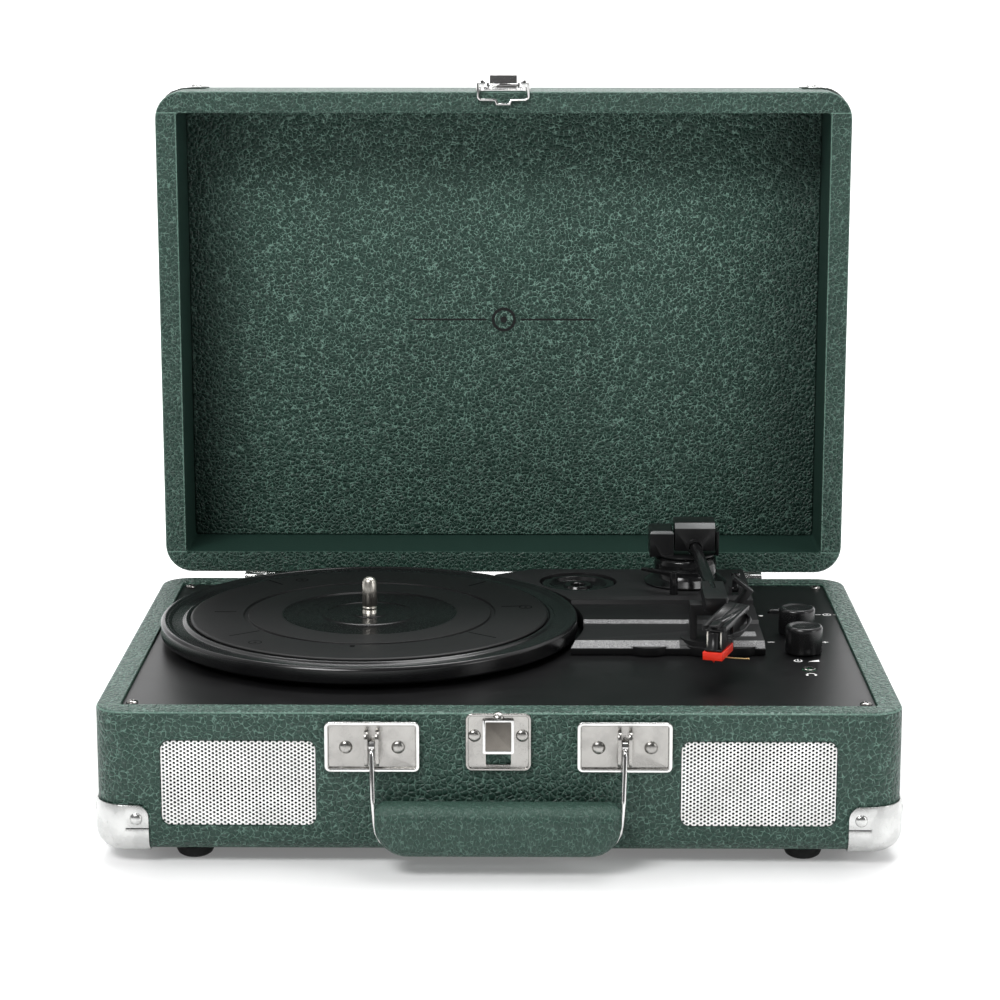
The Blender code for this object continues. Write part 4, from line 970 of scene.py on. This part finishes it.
# %% Handle brackets
BRACKET_WIDTH = 41.2
BRACKET_HEIGHT = 22.4
handle_hinge = next(joint for joint in frame["joints"] if joint["name"] == "handle_swing")
HANDLE = TO_CASE @ Vector(handle_hinge["pos_m"])
for side in ("left", "right"):
    low, high = span(f"handle_bracket_{side}")
    x = (low.x + high.x) / 2
    z = (low.z + high.z) / 2
    back = high.y
    face = back - 1.0
    outline = rounded(BRACKET_WIDTH / 2, BRACKET_HEIGHT / 2, 2.4, (x, z))
    shapes = [bordered(outline, back, face, 1.7, 1.3)]
    for dx in (-2.4, 2.4):
        lug = slab(eased([(face + 0.5, 62.5), (HANDLE.y - 1.0, 62.5), (HANDLE.y - 2.6, 60.5),
                          (HANDLE.y - 2.6, 48.6), (HANDLE.y - 1.2, 47.0), (face + 0.5, 47.0)], 1.6),
                   x + dx - 0.8, x + dx + 0.8, "YZ", soft=0.22)
        shapes.append(lug)
    shapes.append(bar((x - 2.6, HANDLE.y, HANDLE.z), (x + 2.6, HANDLE.y, HANDLE.z), 0.9))
    shapes += [rivet((x + dx, face, 54.7), (0, -1, 0), 1.05) for dx in (-11.4, 11.4)]
    piece(f"bracket_{side}", gather(*shapes), pressed.material, f"handle_bracket_{side}")
    rim = carve(slab(rounded(BRACKET_WIDTH / 2 + 0.05, BRACKET_HEIGHT / 2 + 0.05, 2.4, (x, z)),
                     face - 1.42, face - 0.4, "XZ", soft=0.3, segments=3),
                slab(rounded(BRACKET_WIDTH / 2 - 1.25, BRACKET_HEIGHT / 2 - 1.25, 1.3, (x, z)),
                     face - 4, face + 2, "XZ"))
    round_edges(rim, 0.2, 2, 50)
    piece(f"bracket_rim_{side}", rim, chrome.material, body="case")

# %% Catch
low, high = span("catch_plate")
x = (low.x + high.x) / 2
z = (low.z + high.z) / 2
back = high.y
face = back - 0.9
outline = rounded((high.x - low.x) / 2, (high.z - low.z) / 2, 2.7, (x, z))
plate = bordered(outline, back, face, 1.1, 0.75)
plate = carve(plate, block((-5.5, FRONT - 6, 47), (5.5, FRONT + 1, 51.6)))
tongue = bordered(rounded(6.8, 7.75, 1.0, (0, 59.75)), face + 0.3, face - 0.7, 1.0, 0.35)
lip = bar((-5.2, face - 0.3, 46.6), (5.2, face - 0.3, 46.6), 0.55, 16)
heads = [rivet((dx, face, 60), (0, -1, 0)) for dx in (-10.4, 10.4)]
knob = turned([(0, 1.1), (1.6, 0.8), (2.4, 0), (2.4, -0.6), (0, -0.6)], (0, face - 0.2, 69.2),
              (0, -0.5, 1), 24)
field = slab(rounded(5.6, 6.5, 0.6, (0, 59.75)), face - 0.75, face - 0.55, "XZ", soft=0.06)
piece("catch", gather(plate, tongue, lip, knob, *heads), pressed.material, "catch_plate")
piece("catch_tongue", field, tongue_steel.material, body="case")
rim = carve(slab(rounded(6.85, 7.8, 1.0, (0, 59.75)), face - 1.12, face - 0.7, "XZ", soft=0.14),
            slab(rounded(5.7, 6.65, 0.5, (0, 59.75)), face - 3, face + 1, "XZ"))
piece("catch_rim", rim, chrome.material, body="case")

# %% [markdown]
# ## Latch, hinges and handle wire
# Small plated parts keep their node's shape. Merging its triangles and rounding its edges is
# enough for them to carry bright lines. Only the latch's thumb is also cut shorter at its end.

# %% Small plated parts
thumb_low, thumb_high = span("latch_lever")
THUMB_TRIM = 3.0
trim_low = Vector((thumb_low.x - 1, thumb_low.y - 1, thumb_high.z - THUMB_TRIM))
thumb = carve(from_node("latch_lever"), block(trim_low, thumb_high + Vector((1, 1, 1))))
round_edges(thumb, 0.3, 2, 40)
piece("latch_thumb", thumb, chrome.material, "latch_lever", sharp=45)
for name, node, width in (("latch", "latch_plate", 0.25),
                          ("latch_wire", "latch_bail", 0.0), ("handle_wire", "handle_bail", 0.0),
                          ("hinge_left_fixed", "hinge_base_leaf_left", 0.12),
                          ("hinge_right_fixed", "hinge_base_leaf_right", 0.12),
                          ("hinge_left_swinging", "hinge_lid_leaf_left", 0.12),
                          ("hinge_right_swinging", "hinge_lid_leaf_right", 0.12)):
    piece(name, from_node(node, width), chrome.material, node, sharp=45)

# %% [markdown]
# ## Grip
# The grip is a padded bar sewn into vinyl. Its outline is cut flat, thickened and generously
# rounded. A voxel remesh then gives even faces, and noise pulls in the shallow upright wrinkles
# that the vinyl gets where it is drawn round the ends.

# %% Padded grip
grip_low, grip_high = span("handle_grip")
GRIP_CORNER = 14.0
WRINKLE = 0.22


def arc(centre, radius, first, last, steps=10):
    return [(centre[0] + radius * math.cos(math.radians(first + (last - first) * n / steps)),
             centre[1] + radius * math.sin(math.radians(first + (last - first) * n / steps)))
            for n in range(steps + 1)]


left, right = grip_low.x, grip_high.x
outline = [(right - 3, grip_high.z), (left + 3, grip_high.z), (left, grip_high.z - 3)]
outline += arc((left + GRIP_CORNER, grip_low.z + GRIP_CORNER), GRIP_CORNER, 180, 270)
outline += arc((right - GRIP_CORNER, grip_low.z + GRIP_CORNER), GRIP_CORNER, 270, 360)
outline += [(right, grip_high.z - 3)]
grip = slab(outline, grip_low.y, grip_high.y, "XZ", soft=6.4, segments=6)
body = to_object(grip, "grip_form")
remesh = body.modifiers.new("Remesh", "REMESH")
remesh.mode = "VOXEL"
remesh.voxel_size = 0.9
bpy.context.view_layer.update()
grip = bmesh.new()
grip.from_mesh(body.evaluated_get(bpy.context.evaluated_depsgraph_get()).to_mesh())
bpy.data.objects.remove(body, do_unlink=True)
for _ in range(3):
    bmesh.ops.smooth_vert(grip, verts=grip.verts, factor=0.5, use_axis_x=True, use_axis_y=True,
                          use_axis_z=True)
grip.normal_update()
for vert in grip.verts:
    near_end = max(0.0, 1 - (min(vert.co.x - left, right - vert.co.x)) / 26)
    fold = noise.fractal(Vector((vert.co.x * 0.42, vert.co.y * 0.10, vert.co.z * 0.12)),
                         0.7, 2.0, 3)
    low_part = 1 - 0.6 * max(0.0, min(1.0, (grip_low.z + 9 - vert.co.z) / 6))
    vert.co += vert.normal * min(fold, 0.4) * WRINKLE * (0.45 + near_end) * low_part
padded_grip = piece("grip", grip, grip_vinyl.material, "handle_grip", sharp=180)

# %% [markdown]
# ## Deck
# The deck is a satin sheet, dark and even. Its four screws have domed heads with a cross recess,
# which is cut with two thin wedges. The printed marks are generic signs: minus, plus, power,
# a wedge for volume and a pair of headphones. Each is a film a few hundredths thick.

# %% Deck finish and screws
deck_look = plastic("deck_satin", (0.0050, 0.0050, 0.0053), 0.30, 0.35, 0.004, 0.18)
frame["nodes"]["deck_plate"].data.materials.clear()
frame["nodes"]["deck_plate"].data.materials.append(deck_look.material)
SCREW_HEAD = [(0, 1.25), (1.4, 1.15), (2.3, 0.8), (2.75, 0.25), (2.75, 0.05), (0, 0.05)]
screw_metal = plated("screw_black_nickel", (0.30, 0.29, 0.28), 0.18)
for corner_name in CORNERS:
    low, high = span(f"deck_screw_{corner_name}")
    centre = Vector(((low.x + high.x) / 2, (low.y + high.y) / 2, DECK))
    head = turned(SCREW_HEAD, centre, sides=36)
    for angle in (20, 110):
        wedge = block((-1.7, -0.27, 0.45), (1.7, 0.27, 3.0))
        wedge.transform(about(centre, angle))
        head = carve(head, wedge)
    round_edges(head, 0.06, 1, 50)
    head = gather(head, bar(centre + Vector((0, 0, -12)), centre + Vector((0, 0, 0.03)), 1.5, 20))
    piece(f"screw_{corner_name}", head, screw_metal.material, f"deck_screw_{corner_name}")

# %% Printed marks
INK_LOW = DECK + 0.015
INK_HIGH = DECK + 0.07
print_white = plastic("print_white", (0.75, 0.75, 0.74), 0.5, 0.3, 0.004)


def printed(outline):
    return slab(outline, INK_LOW, INK_HIGH)


def printed_bar(x, y, half_x, half_y):
    return printed(rounded(half_x, half_y, min(half_x, half_y) * 0.9, (x, y), 3))


def printed_arc(x, y, radius, width, first, last):
    """Part of a ring, such as the power sign's."""
    outer = arc((x, y), radius + width / 2, first, last, 20)
    return printed(outer + arc((x, y), radius - width / 2, last, first, 20))


knob_low, knob_high = span("knob_volume")
selector_low, selector_high = span("knob_selector")
KNOB_X = (knob_low.x + knob_high.x) / 2
VOLUME_Y = (knob_low.y + knob_high.y) / 2
SELECTOR_Y = (selector_low.y + selector_high.y) / 2
JACK = Vector((142.6, -48.5, DECK))
sign_y = -33.6
signs = [printed(ring(1.15, 24, (128.8, 51.3))),
         printed_bar(129.3, 0.2, 1.7, 0.32), printed_bar(155.2, 0.2, 1.6, 0.32),
         printed_bar(155.2, 0.2, 0.32, 1.5),
         printed_arc(139.0, sign_y, 1.75, 0.5, 125, 415),
         printed_bar(139.0, sign_y + 1.3, 0.27, 1.4),
         printed([(143.6, sign_y - 1.5), (148.8, sign_y - 1.5), (148.8, sign_y + 1.7)]),
         printed_arc(142.7, -57.6, 2.0, 0.5, 0, 180), printed_bar(140.75, -58.2, 0.55, 1.25),
         printed_bar(144.65, -58.2, 0.55, 1.25),
         printed_arc(161.8, 53.6, 1.9, 0.45, 0, 359), printed(ring(0.6, 16, (161.8, 53.6))),
         printed_bar(157.2, 53.6, 1.6, 0.25), printed_bar(166.0, 53.6, 1.2, 0.25)]
piece("deck_signs", gather(*signs), print_white.material, body="case")
jack_ring = turned([(2.9, DECK + 0.05), (2.9, DECK + 0.4), (2.6, DECK + 0.6), (2.0, DECK + 0.5),
                    (1.9, DECK - 1.5), (2.8, DECK - 1.5)], (JACK.x, JACK.y, 0), sides=40)
piece("jack_ring", jack_ring, screw_metal.material, body="case")

# %% [markdown]
# ## Platter, mat and spindle
# The platter is moulded in glossy black with a raised rim and a shallow trough. The mat is a
# satin disc with one groove, a dished middle and faint moulded marks. All three are turned
# shapes, so a profile and a spin make them. The marks are inlays a few hundredths proud of the
# mat, because marks this faint don't show as bump alone.

# %% Turned parts on the spindle's axis
spin_joint = next(joint for joint in frame["joints"] if joint["name"] == "platter_spin")
AXIS = TO_CASE @ Vector(spin_joint["pos_m"])
AXIS.z = 0
platter_low, platter_high = span("platter")
mat_low, mat_high = span("slip_mat")
RIM_R = (platter_high.x - platter_low.x) / 2
LIP = platter_high.z
MAT_R = (mat_high.x - mat_low.x) / 2
MAT = mat_high.z
profile = [(3.8, LIP - 0.95), (MAT_R + 0.7, LIP - 0.95), (MAT_R + 1.2, LIP - 0.2),
           (MAT_R + 2.4, LIP - 0.2), (MAT_R + 3.6, LIP - 1.3), (RIM_R - 5.2, LIP - 1.3),
           (RIM_R - 4.0, LIP - 0.5), (RIM_R - 3.0, LIP - 0.5), (RIM_R - 2.6, LIP),
           (RIM_R - 1.0, LIP), (RIM_R, LIP - 1.2), (RIM_R, LIP - 6.9), (RIM_R - 0.8, LIP - 7.9),
           (RIM_R - 3, LIP - 7.9), (RIM_R - 3, LIP - 3.1), (60, LIP - 3.1), (60, LIP - 7.6),
           (58, LIP - 7.6), (58, LIP - 3.1), (9, LIP - 3.1), (9, LIP - 8.2), (3.8, LIP - 8.2)]
platter_look = plastic("platter_black", (0.0055, 0.0055, 0.006), 0.20, 0.6, 0.004, 0.55)
piece("platter_disc", turned(profile, AXIS, sides=160, ease=0.35), platter_look.material, "platter",
      sharp=30)

profile = [(3.8, MAT - 0.1), (8.4, MAT - 0.1), (9.2, MAT - 0.55), (20.6, MAT - 0.55),
           (21.4, MAT - 0.15), (22.6, MAT - 0.15), (23.4, MAT - 0.7), (40.4, MAT - 0.7),
           (42.4, MAT), (58.3, MAT), (58.6, MAT - 1.0), (60.4, MAT - 1.0), (60.7, MAT),
           (MAT_R - 0.9, MAT), (MAT_R, MAT - 0.5), (MAT_R, MAT - 1.2), (3.8, MAT - 1.2)]
mat_look = Look("mat_rubber", (0.0105, 0.0105, 0.011), 0.5, Specular_IOR_Level=0.18)
from_x = mat_look.x - AXIS.x
from_y = mat_look.y - AXIS.y
distance = (from_x * from_x + from_y * from_y).math("SQRT")
dish = distance.fade(42.6, 41.6)
grain = mat_look.cloud(0.55, 3.0)
inside = distance.lowest(42.0)
height = grain * (1 - dish) * 0.035 + inside * inside * 0.0032
tint = mat_look.mix(dish * 0.5, (0.0095, 0.0095, 0.0098), (0.0022, 0.0022, 0.0025))
mat_look.feed(Base_Color=tint, Roughness=0.40 - dish * 0.20 + grain * 0.12,
              Normal=mat_look.bump(height, 1.0))
piece("mat", turned(profile, AXIS, sides=160, ease=0.2), mat_look.material, "slip_mat", sharp=30)

MARK_TOP = MAT + 0.04
DOT_AT = 76
shapes = []
for angle, near, far, half in ((180, 64.5, 75.0, 0.5), (10, 64.5, 75.0, 0.5), (130, 73, 85, 0.4),
                               (216, 61.5, 78, 0.45), (-38, 61.5, 78, 0.4), (49, 71, 84, 0.4),
                               (-94, 62.5, 65.5, 1.1)):
    line = block((near, -half, MAT - 0.2), (far, half, MARK_TOP))
    line.transform(about(AXIS, angle))
    shapes.append(line)
for angle in (8, 120, 229):
    turn = math.radians(angle)
    spot = (AXIS.x + DOT_AT * math.cos(turn), AXIS.y + DOT_AT * math.sin(turn))
    shapes.append(carve(slab(ring(3.2, 40, spot), MAT - 0.2, MARK_TOP),
                        slab(ring(2.7, 40, spot), MAT - 1, MAT + 1)))
    shapes.append(slab(ring(0.8, 20, spot), MAT - 0.2, MARK_TOP))
mark_black = plastic("mark_black", (0.002, 0.002, 0.0022), 0.85, 0.4, 0.004, 0.05)
piece("mat_marks", gather(*shapes), mark_black.material, body="turntable")

spindle_low, spindle_high = span("spindle")
SHAFT = (spindle_high.x - spindle_low.x) / 2
TIP = spindle_high.z
profile = [(0, TIP), (1.5, TIP - 0.2), (2.7, TIP - 0.9), (SHAFT - 0.15, TIP - 2.3),
           (SHAFT - 0.15, TIP - 3.0), (SHAFT, TIP - 3.3), (SHAFT, MAT + 3.6),
           (SHAFT - 0.5, MAT + 3.2), (SHAFT, MAT + 2.8), (SHAFT, MAT + 1.9),
           (SHAFT - 0.5, MAT + 1.5), (SHAFT, MAT + 1.1), (SHAFT, spindle_low.z),
           (0, spindle_low.z)]
piece("centre_pin", turned(profile, AXIS, sides=48), nickel.material, "spindle", sharp=60)

# %% [markdown]
# ## Player module
# The stepped moulding keeps its node's shape with its edges rounded. The two slopes and a small
# pad have a coarse sparkling texture, and the upper step is finely ribbed along the case. Masks
# built from the module's own steps put each texture in its place.

# %% Module finish
module_look = Look("module_black", (0.0115, 0.0115, 0.012), 0.42, Specular_IOR_Level=0.22)
m = module_look
both_sides = (m.x.fade(84.6, 83.9) + m.x.fade(109.4, 110.0)).lowest(1.0)
slope_front = m.y.fade(-24.3, -23.9) * m.y.fade(-18.0, -18.4) * both_sides
slope_back = m.y.fade(12.9, 13.2) * m.y.fade(15.3, 15.0) * m.x.fade(91.0, 90.4)
pad = (m.x.fade(111.6, 112.0) * m.x.fade(121.6, 121.2)
       * m.y.fade(-10.5, -10.1) * m.y.fade(-1.5, -1.9))
band = slope_front.highest(slope_back).highest(pad) * m.z.fade(70.5, 71.0) * m.z.fade(77.5, 77.0)
sparkle = m.cloud(0.34, 2.0, roughness=0.8).fade(0.42, 0.62)
ribbed = m.y.fade(46.6, 47.2) * m.z.fade(77.5, 77.8)
ribs = (m.y * (math.tau / 1.15)).math("SINE") * ribbed
fine = m.cloud(0.4, 3.0)
plain = m.mix(ribbed * (ribs * 0.3 + 0.7), (0.0080, 0.0080, 0.0085), (0.026, 0.026, 0.027))
m.feed(Base_Color=m.mix(band * (sparkle * 0.8 + 0.2), plain, (0.58, 0.58, 0.585)),
       Roughness=0.44 + band * 0.15 - ribbed * 0.06 + fine * 0.06,
       Normal=m.bump(ribs * 0.5 + sparkle * band * 0.8 + fine * 0.12, 0.16))
piece("module", from_node("player_module", 0.35), m.material, "player_module", sharp=40)

# %% The 45 rpm adapter in its dish
low, high, centre = footprint("adapter_45")
base = low.z
profile = [(3.7, base + 3.1), (4.6, base + 3.8), (6.6, base + 3.8), (7.4, base + 2.3),
           (13.2, base + 2.3), (14.6, base + 4.3), (18.2, base + 4.3), (19.0, base + 3.5),
           (19.0, base), (3.7, base)]
adapter = turned(profile, centre, sides=72, ease=0.3)
for angle in (35, 145, 215, 325):
    notch = block((16.6, -1.6, base + 3.6), (20, 1.6, base + 6))
    notch.transform(about(centre, angle))
    adapter = carve(adapter, notch)
piece("adapter", adapter, gloss_black.material, "adapter_45")

# %% [markdown]
# ## Tonearm
# The turret is a glossy turned post. The fork, the weight block, the tube and the head keep their
# nodes' shapes with rounded edges. The head gets its slots and ridge, a finger lift bent from thin
# brass-coloured wire, and four lead wires that leave the cartridge in loose curves.

# %% Turret, fork and block
low, high, centre = footprint("arm_turret")
profile = [(0, high.z), (13.6, high.z), (15.2, high.z - 1.2), (15.8, high.z - 3.4),
           (15.8, low.z + 5.2), (17.0, low.z + 3.4), (20.2, low.z + 1.2), (21.0, low.z + 0.6),
           (21.0, low.z), (0, low.z)]
piece("turret", turned(profile, centre, sides=72, ease=0.4), gloss_black.material, "arm_turret")


def with_highlit_chamfer(name, back, low):
    """Black plastic whose chamfer at the front of the top carries a painted highlight in lighter grey."""
    look = plastic(name, ARM_BLACK, 0.27, 0.5, 0.010, 0.35)
    chamfer_highlight = look.y.fade(back + 0.3, back) * look.z.fade(low - 0.2, low + 0.2)
    look.feed(Base_Color=look.mix(chamfer_highlight, ARM_BLACK, (0.17, 0.175, 0.175)))
    return look


block_top = span("arm_block")[1].z
fork_top = span("arm_yoke")[1].z
block_black = with_highlit_chamfer("black_block", 81.8, block_top - 2.5)
fork_black = with_highlit_chamfer("black_fork", 80.5, fork_top - 1.3)
for name, node, width, look in (("fork", "arm_yoke", 0.4, fork_black),
                                ("weight_block", "arm_block", 0.5, block_black),
                                ("tube", "arm_tube", 0.0, gloss_black),
                                ("clip", "arm_clip", 0.3, arm_black),
                                ("stylus_holder", "stylus", 0.3, stylus_red),
                                ("cue_knob", "cue_lever", 0.25, gloss_black),
                                ("lift_arc", "lift_platform", 0.25, gloss_black)):
    piece(name, from_node(node, width), look.material, node, sharp=45)

# %% Head
HEAD_TURN = 18.5
along = Vector((math.sin(math.radians(HEAD_TURN)), math.cos(math.radians(HEAD_TURN)), 0))
across = Vector((along.y, -along.x, 0))
stylus_top = span("stylus")[1].z
TIP_AT = Vector((95.8, -81.5, 0))
SHELL_TOP = 97.5


def head_box(u0, u1, v0, v1, low, high, soft=0.0):
    """A box turned with the head: u runs across it and v back along it."""
    outline = [TIP_AT + across * u + along * v for u, v in ((u0, v0), (u1, v0), (u1, v1), (u0, v1))]
    return slab([(p.x, p.y) for p in outline], low, high, soft=soft)


head = from_node("headshell", 0.4)
for u in (-2.9, 2.9):
    head = carve(head, head_box(u - 0.75, u + 0.75, -1, 9, SHELL_TOP - 1.6, SHELL_TOP + 2))
head = gather(head, head_box(-0.5, 0.5, 10, 44, SHELL_TOP - 0.2, SHELL_TOP + 0.35, 0.12),
              head_box(-1.9, 1.9, -0.6, 8.6, SHELL_TOP - 0.3, SHELL_TOP + 0.7, 0.25),
              rivet(TIP_AT + across * 2.6 + along * 24 + Vector((0, 0, SHELL_TOP)), (0, 0, 1),
                    0.35))
piece("head", head, arm_black.material, "headshell", sharp=45)
cartridge = from_node("cartridge", 0.35)
contacts = []
for u in (-3.2, 3.0):
    slot = head_box(u - 0.95, u + 0.95, -4, 4.5, stylus_top + 1.2, SHELL_TOP + 1)
    cartridge = carve(cartridge, slot)
    contacts.append(head_box(u - 0.35, u + 0.35, 2.0, 5.0, stylus_top + 1.4, SHELL_TOP - 2.5, 0.15))
piece("cartridge_body", cartridge, arm_black.material, "cartridge", sharp=45)
piece("contacts", gather(*contacts), nickel.material, body="arm")

# %% Finger lift and lead wires
lift_from = TIP_AT + along * 7 + Vector((0, 0, 82.0))
route = [lift_from + across * u + Vector((0, 0, rise)) for u, rise in
         ((-5.4, 0.0), (0, -0.1), (6, -0.1), (12, 0.0), (14.6, 0.2))]
BEAD = [(0, 0.55), (0.4, 0.4), (0.55, 0), (0.4, -0.4), (0, -0.55)]
finger = gather(wire(route, 0.32, 10), turned(BEAD, route[-1], sides=16))
piece("finger_lift", finger, brass.material, body="arm")
lead_black = plastic("lead_black", (0.014, 0.014, 0.015), 0.22, 0.6, 0.004)
leads = []
for index in range(4):
    shift = index - 1.5
    lean = 0.9 * shift
    route = [TIP_AT + across * u + along * v + Vector((0, 0, z)) for u, v, z in
             ((5.2 + 0.2 * index, 41 - index, 94.2 + 0.5 * shift),
              (7.4 + 0.7 * index, 34 - index, 92.6 + lean),
              (7.2 + 0.5 * index, 24 - index, 90.2 + lean),
              (5.0, 15 - index * 0.6, 89.6 + lean), (3.8, 11 - index * 0.6, 90.0 + lean))]
    leads.append(wire(route, 0.38, 8))
piece("lead_wires", gather(*leads), lead_black.material, body="arm")

# %% [markdown]
# ## Knobs, feet and the back
# The knobs are dished on top, with a soft lip that carries a bright ring. The feet are rubber
# domes. On the back, the socket plate gets a coloured collar for each output.

# %% Knobs and slider
for name, node in (("volume", "knob_volume"), ("selector", "knob_selector")):
    low, high, centre = footprint(node)
    top = high.z
    radius = (high.x - low.x) / 2
    profile = [(0, top - 0.75), (radius - 3.2, top - 0.65), (radius - 1.6, top - 0.1),
               (radius - 0.9, top), (radius - 0.1, top - 0.9), (radius, top - 2.2),
               (radius, low.z + 0.6), (radius - 0.4, low.z), (3.3, low.z), (3.3, low.z + 8.6),
               (0, low.z + 8.6)]
    piece(f"{name}_knob", turned(profile, centre, sides=96, ease=0.45), knob_black.material, node)
piece("source_slider", from_node("input_slider", 0.3), knob_black.material, "input_slider")

# %% Feet
for corner_name in CORNERS:
    low, high, centre = footprint(f"foot_{corner_name}")
    radius = (high.x - low.x) / 2
    profile = [(0, high.z), (5, high.z), (5, high.z - 0.5), (radius, high.z - 0.5),
               (radius, high.z - 2.9), (radius - 0.8, low.z + 1.3), (radius - 2.4, low.z + 0.25),
               (radius - 3.4, low.z), (0, low.z)]
    piece(f"rubber_{corner_name}", turned(profile, centre, sides=48, ease=0.5), rubber.material,
          f"foot_{corner_name}")

# %% Rear panel
SOCKET_Z = 38
back = span("rear_socket_panel")[1].y
panel = from_node("rear_socket_panel", 0.25)
piece("socket_panel", panel, satin_black.material, "rear_socket_panel", sharp=45)
COLLAR = [(3.9, back + 0.02), (3.9, back + 0.5), (2.0, back + 0.5), (2.0, back + 0.02)]
for name, x, tint, slot in (("red", -90, (0.70, 0.02, 0.02), "red_plastic"),
                            ("white", -76, (0.75, 0.75, 0.74), "white_metal")):
    collar_look = plastic(f"collar_{name}", tint, 0.35, 0.4, 0.006)
    collar = turned(COLLAR, sides=36)
    collar.transform(Matrix.Translation((x, 0, SOCKET_Z)) @ PLANES["XZ"])
    piece(f"socket_collar_{name}", collar, collar_look.material, body="case")

# %% [markdown]
# ## Parts that stay as they are
# What is left is mostly hidden inside. Each of these nodes keeps its own mesh and gets the finish
# of its material slot.

# %% Finish the remaining nodes
BY_SLOT = {"satin_black": satin_black, "black_plastic": arm_black, "rubber": rubber,
           "nickel": nickel, "green_board": board_green, "hardboard": hardboard, "chrome": chrome}
for node in ("base_bottom_panel", "circuit_board", "drive_belt", "motor", "motor_pulley",
             "speaker_left", "speaker_right"):
    mesh = frame["nodes"][node].data
    mesh.materials.clear()
    mesh.materials.append(BY_SLOT[SLOT_OF[node]].material)
print("all nodes finished")
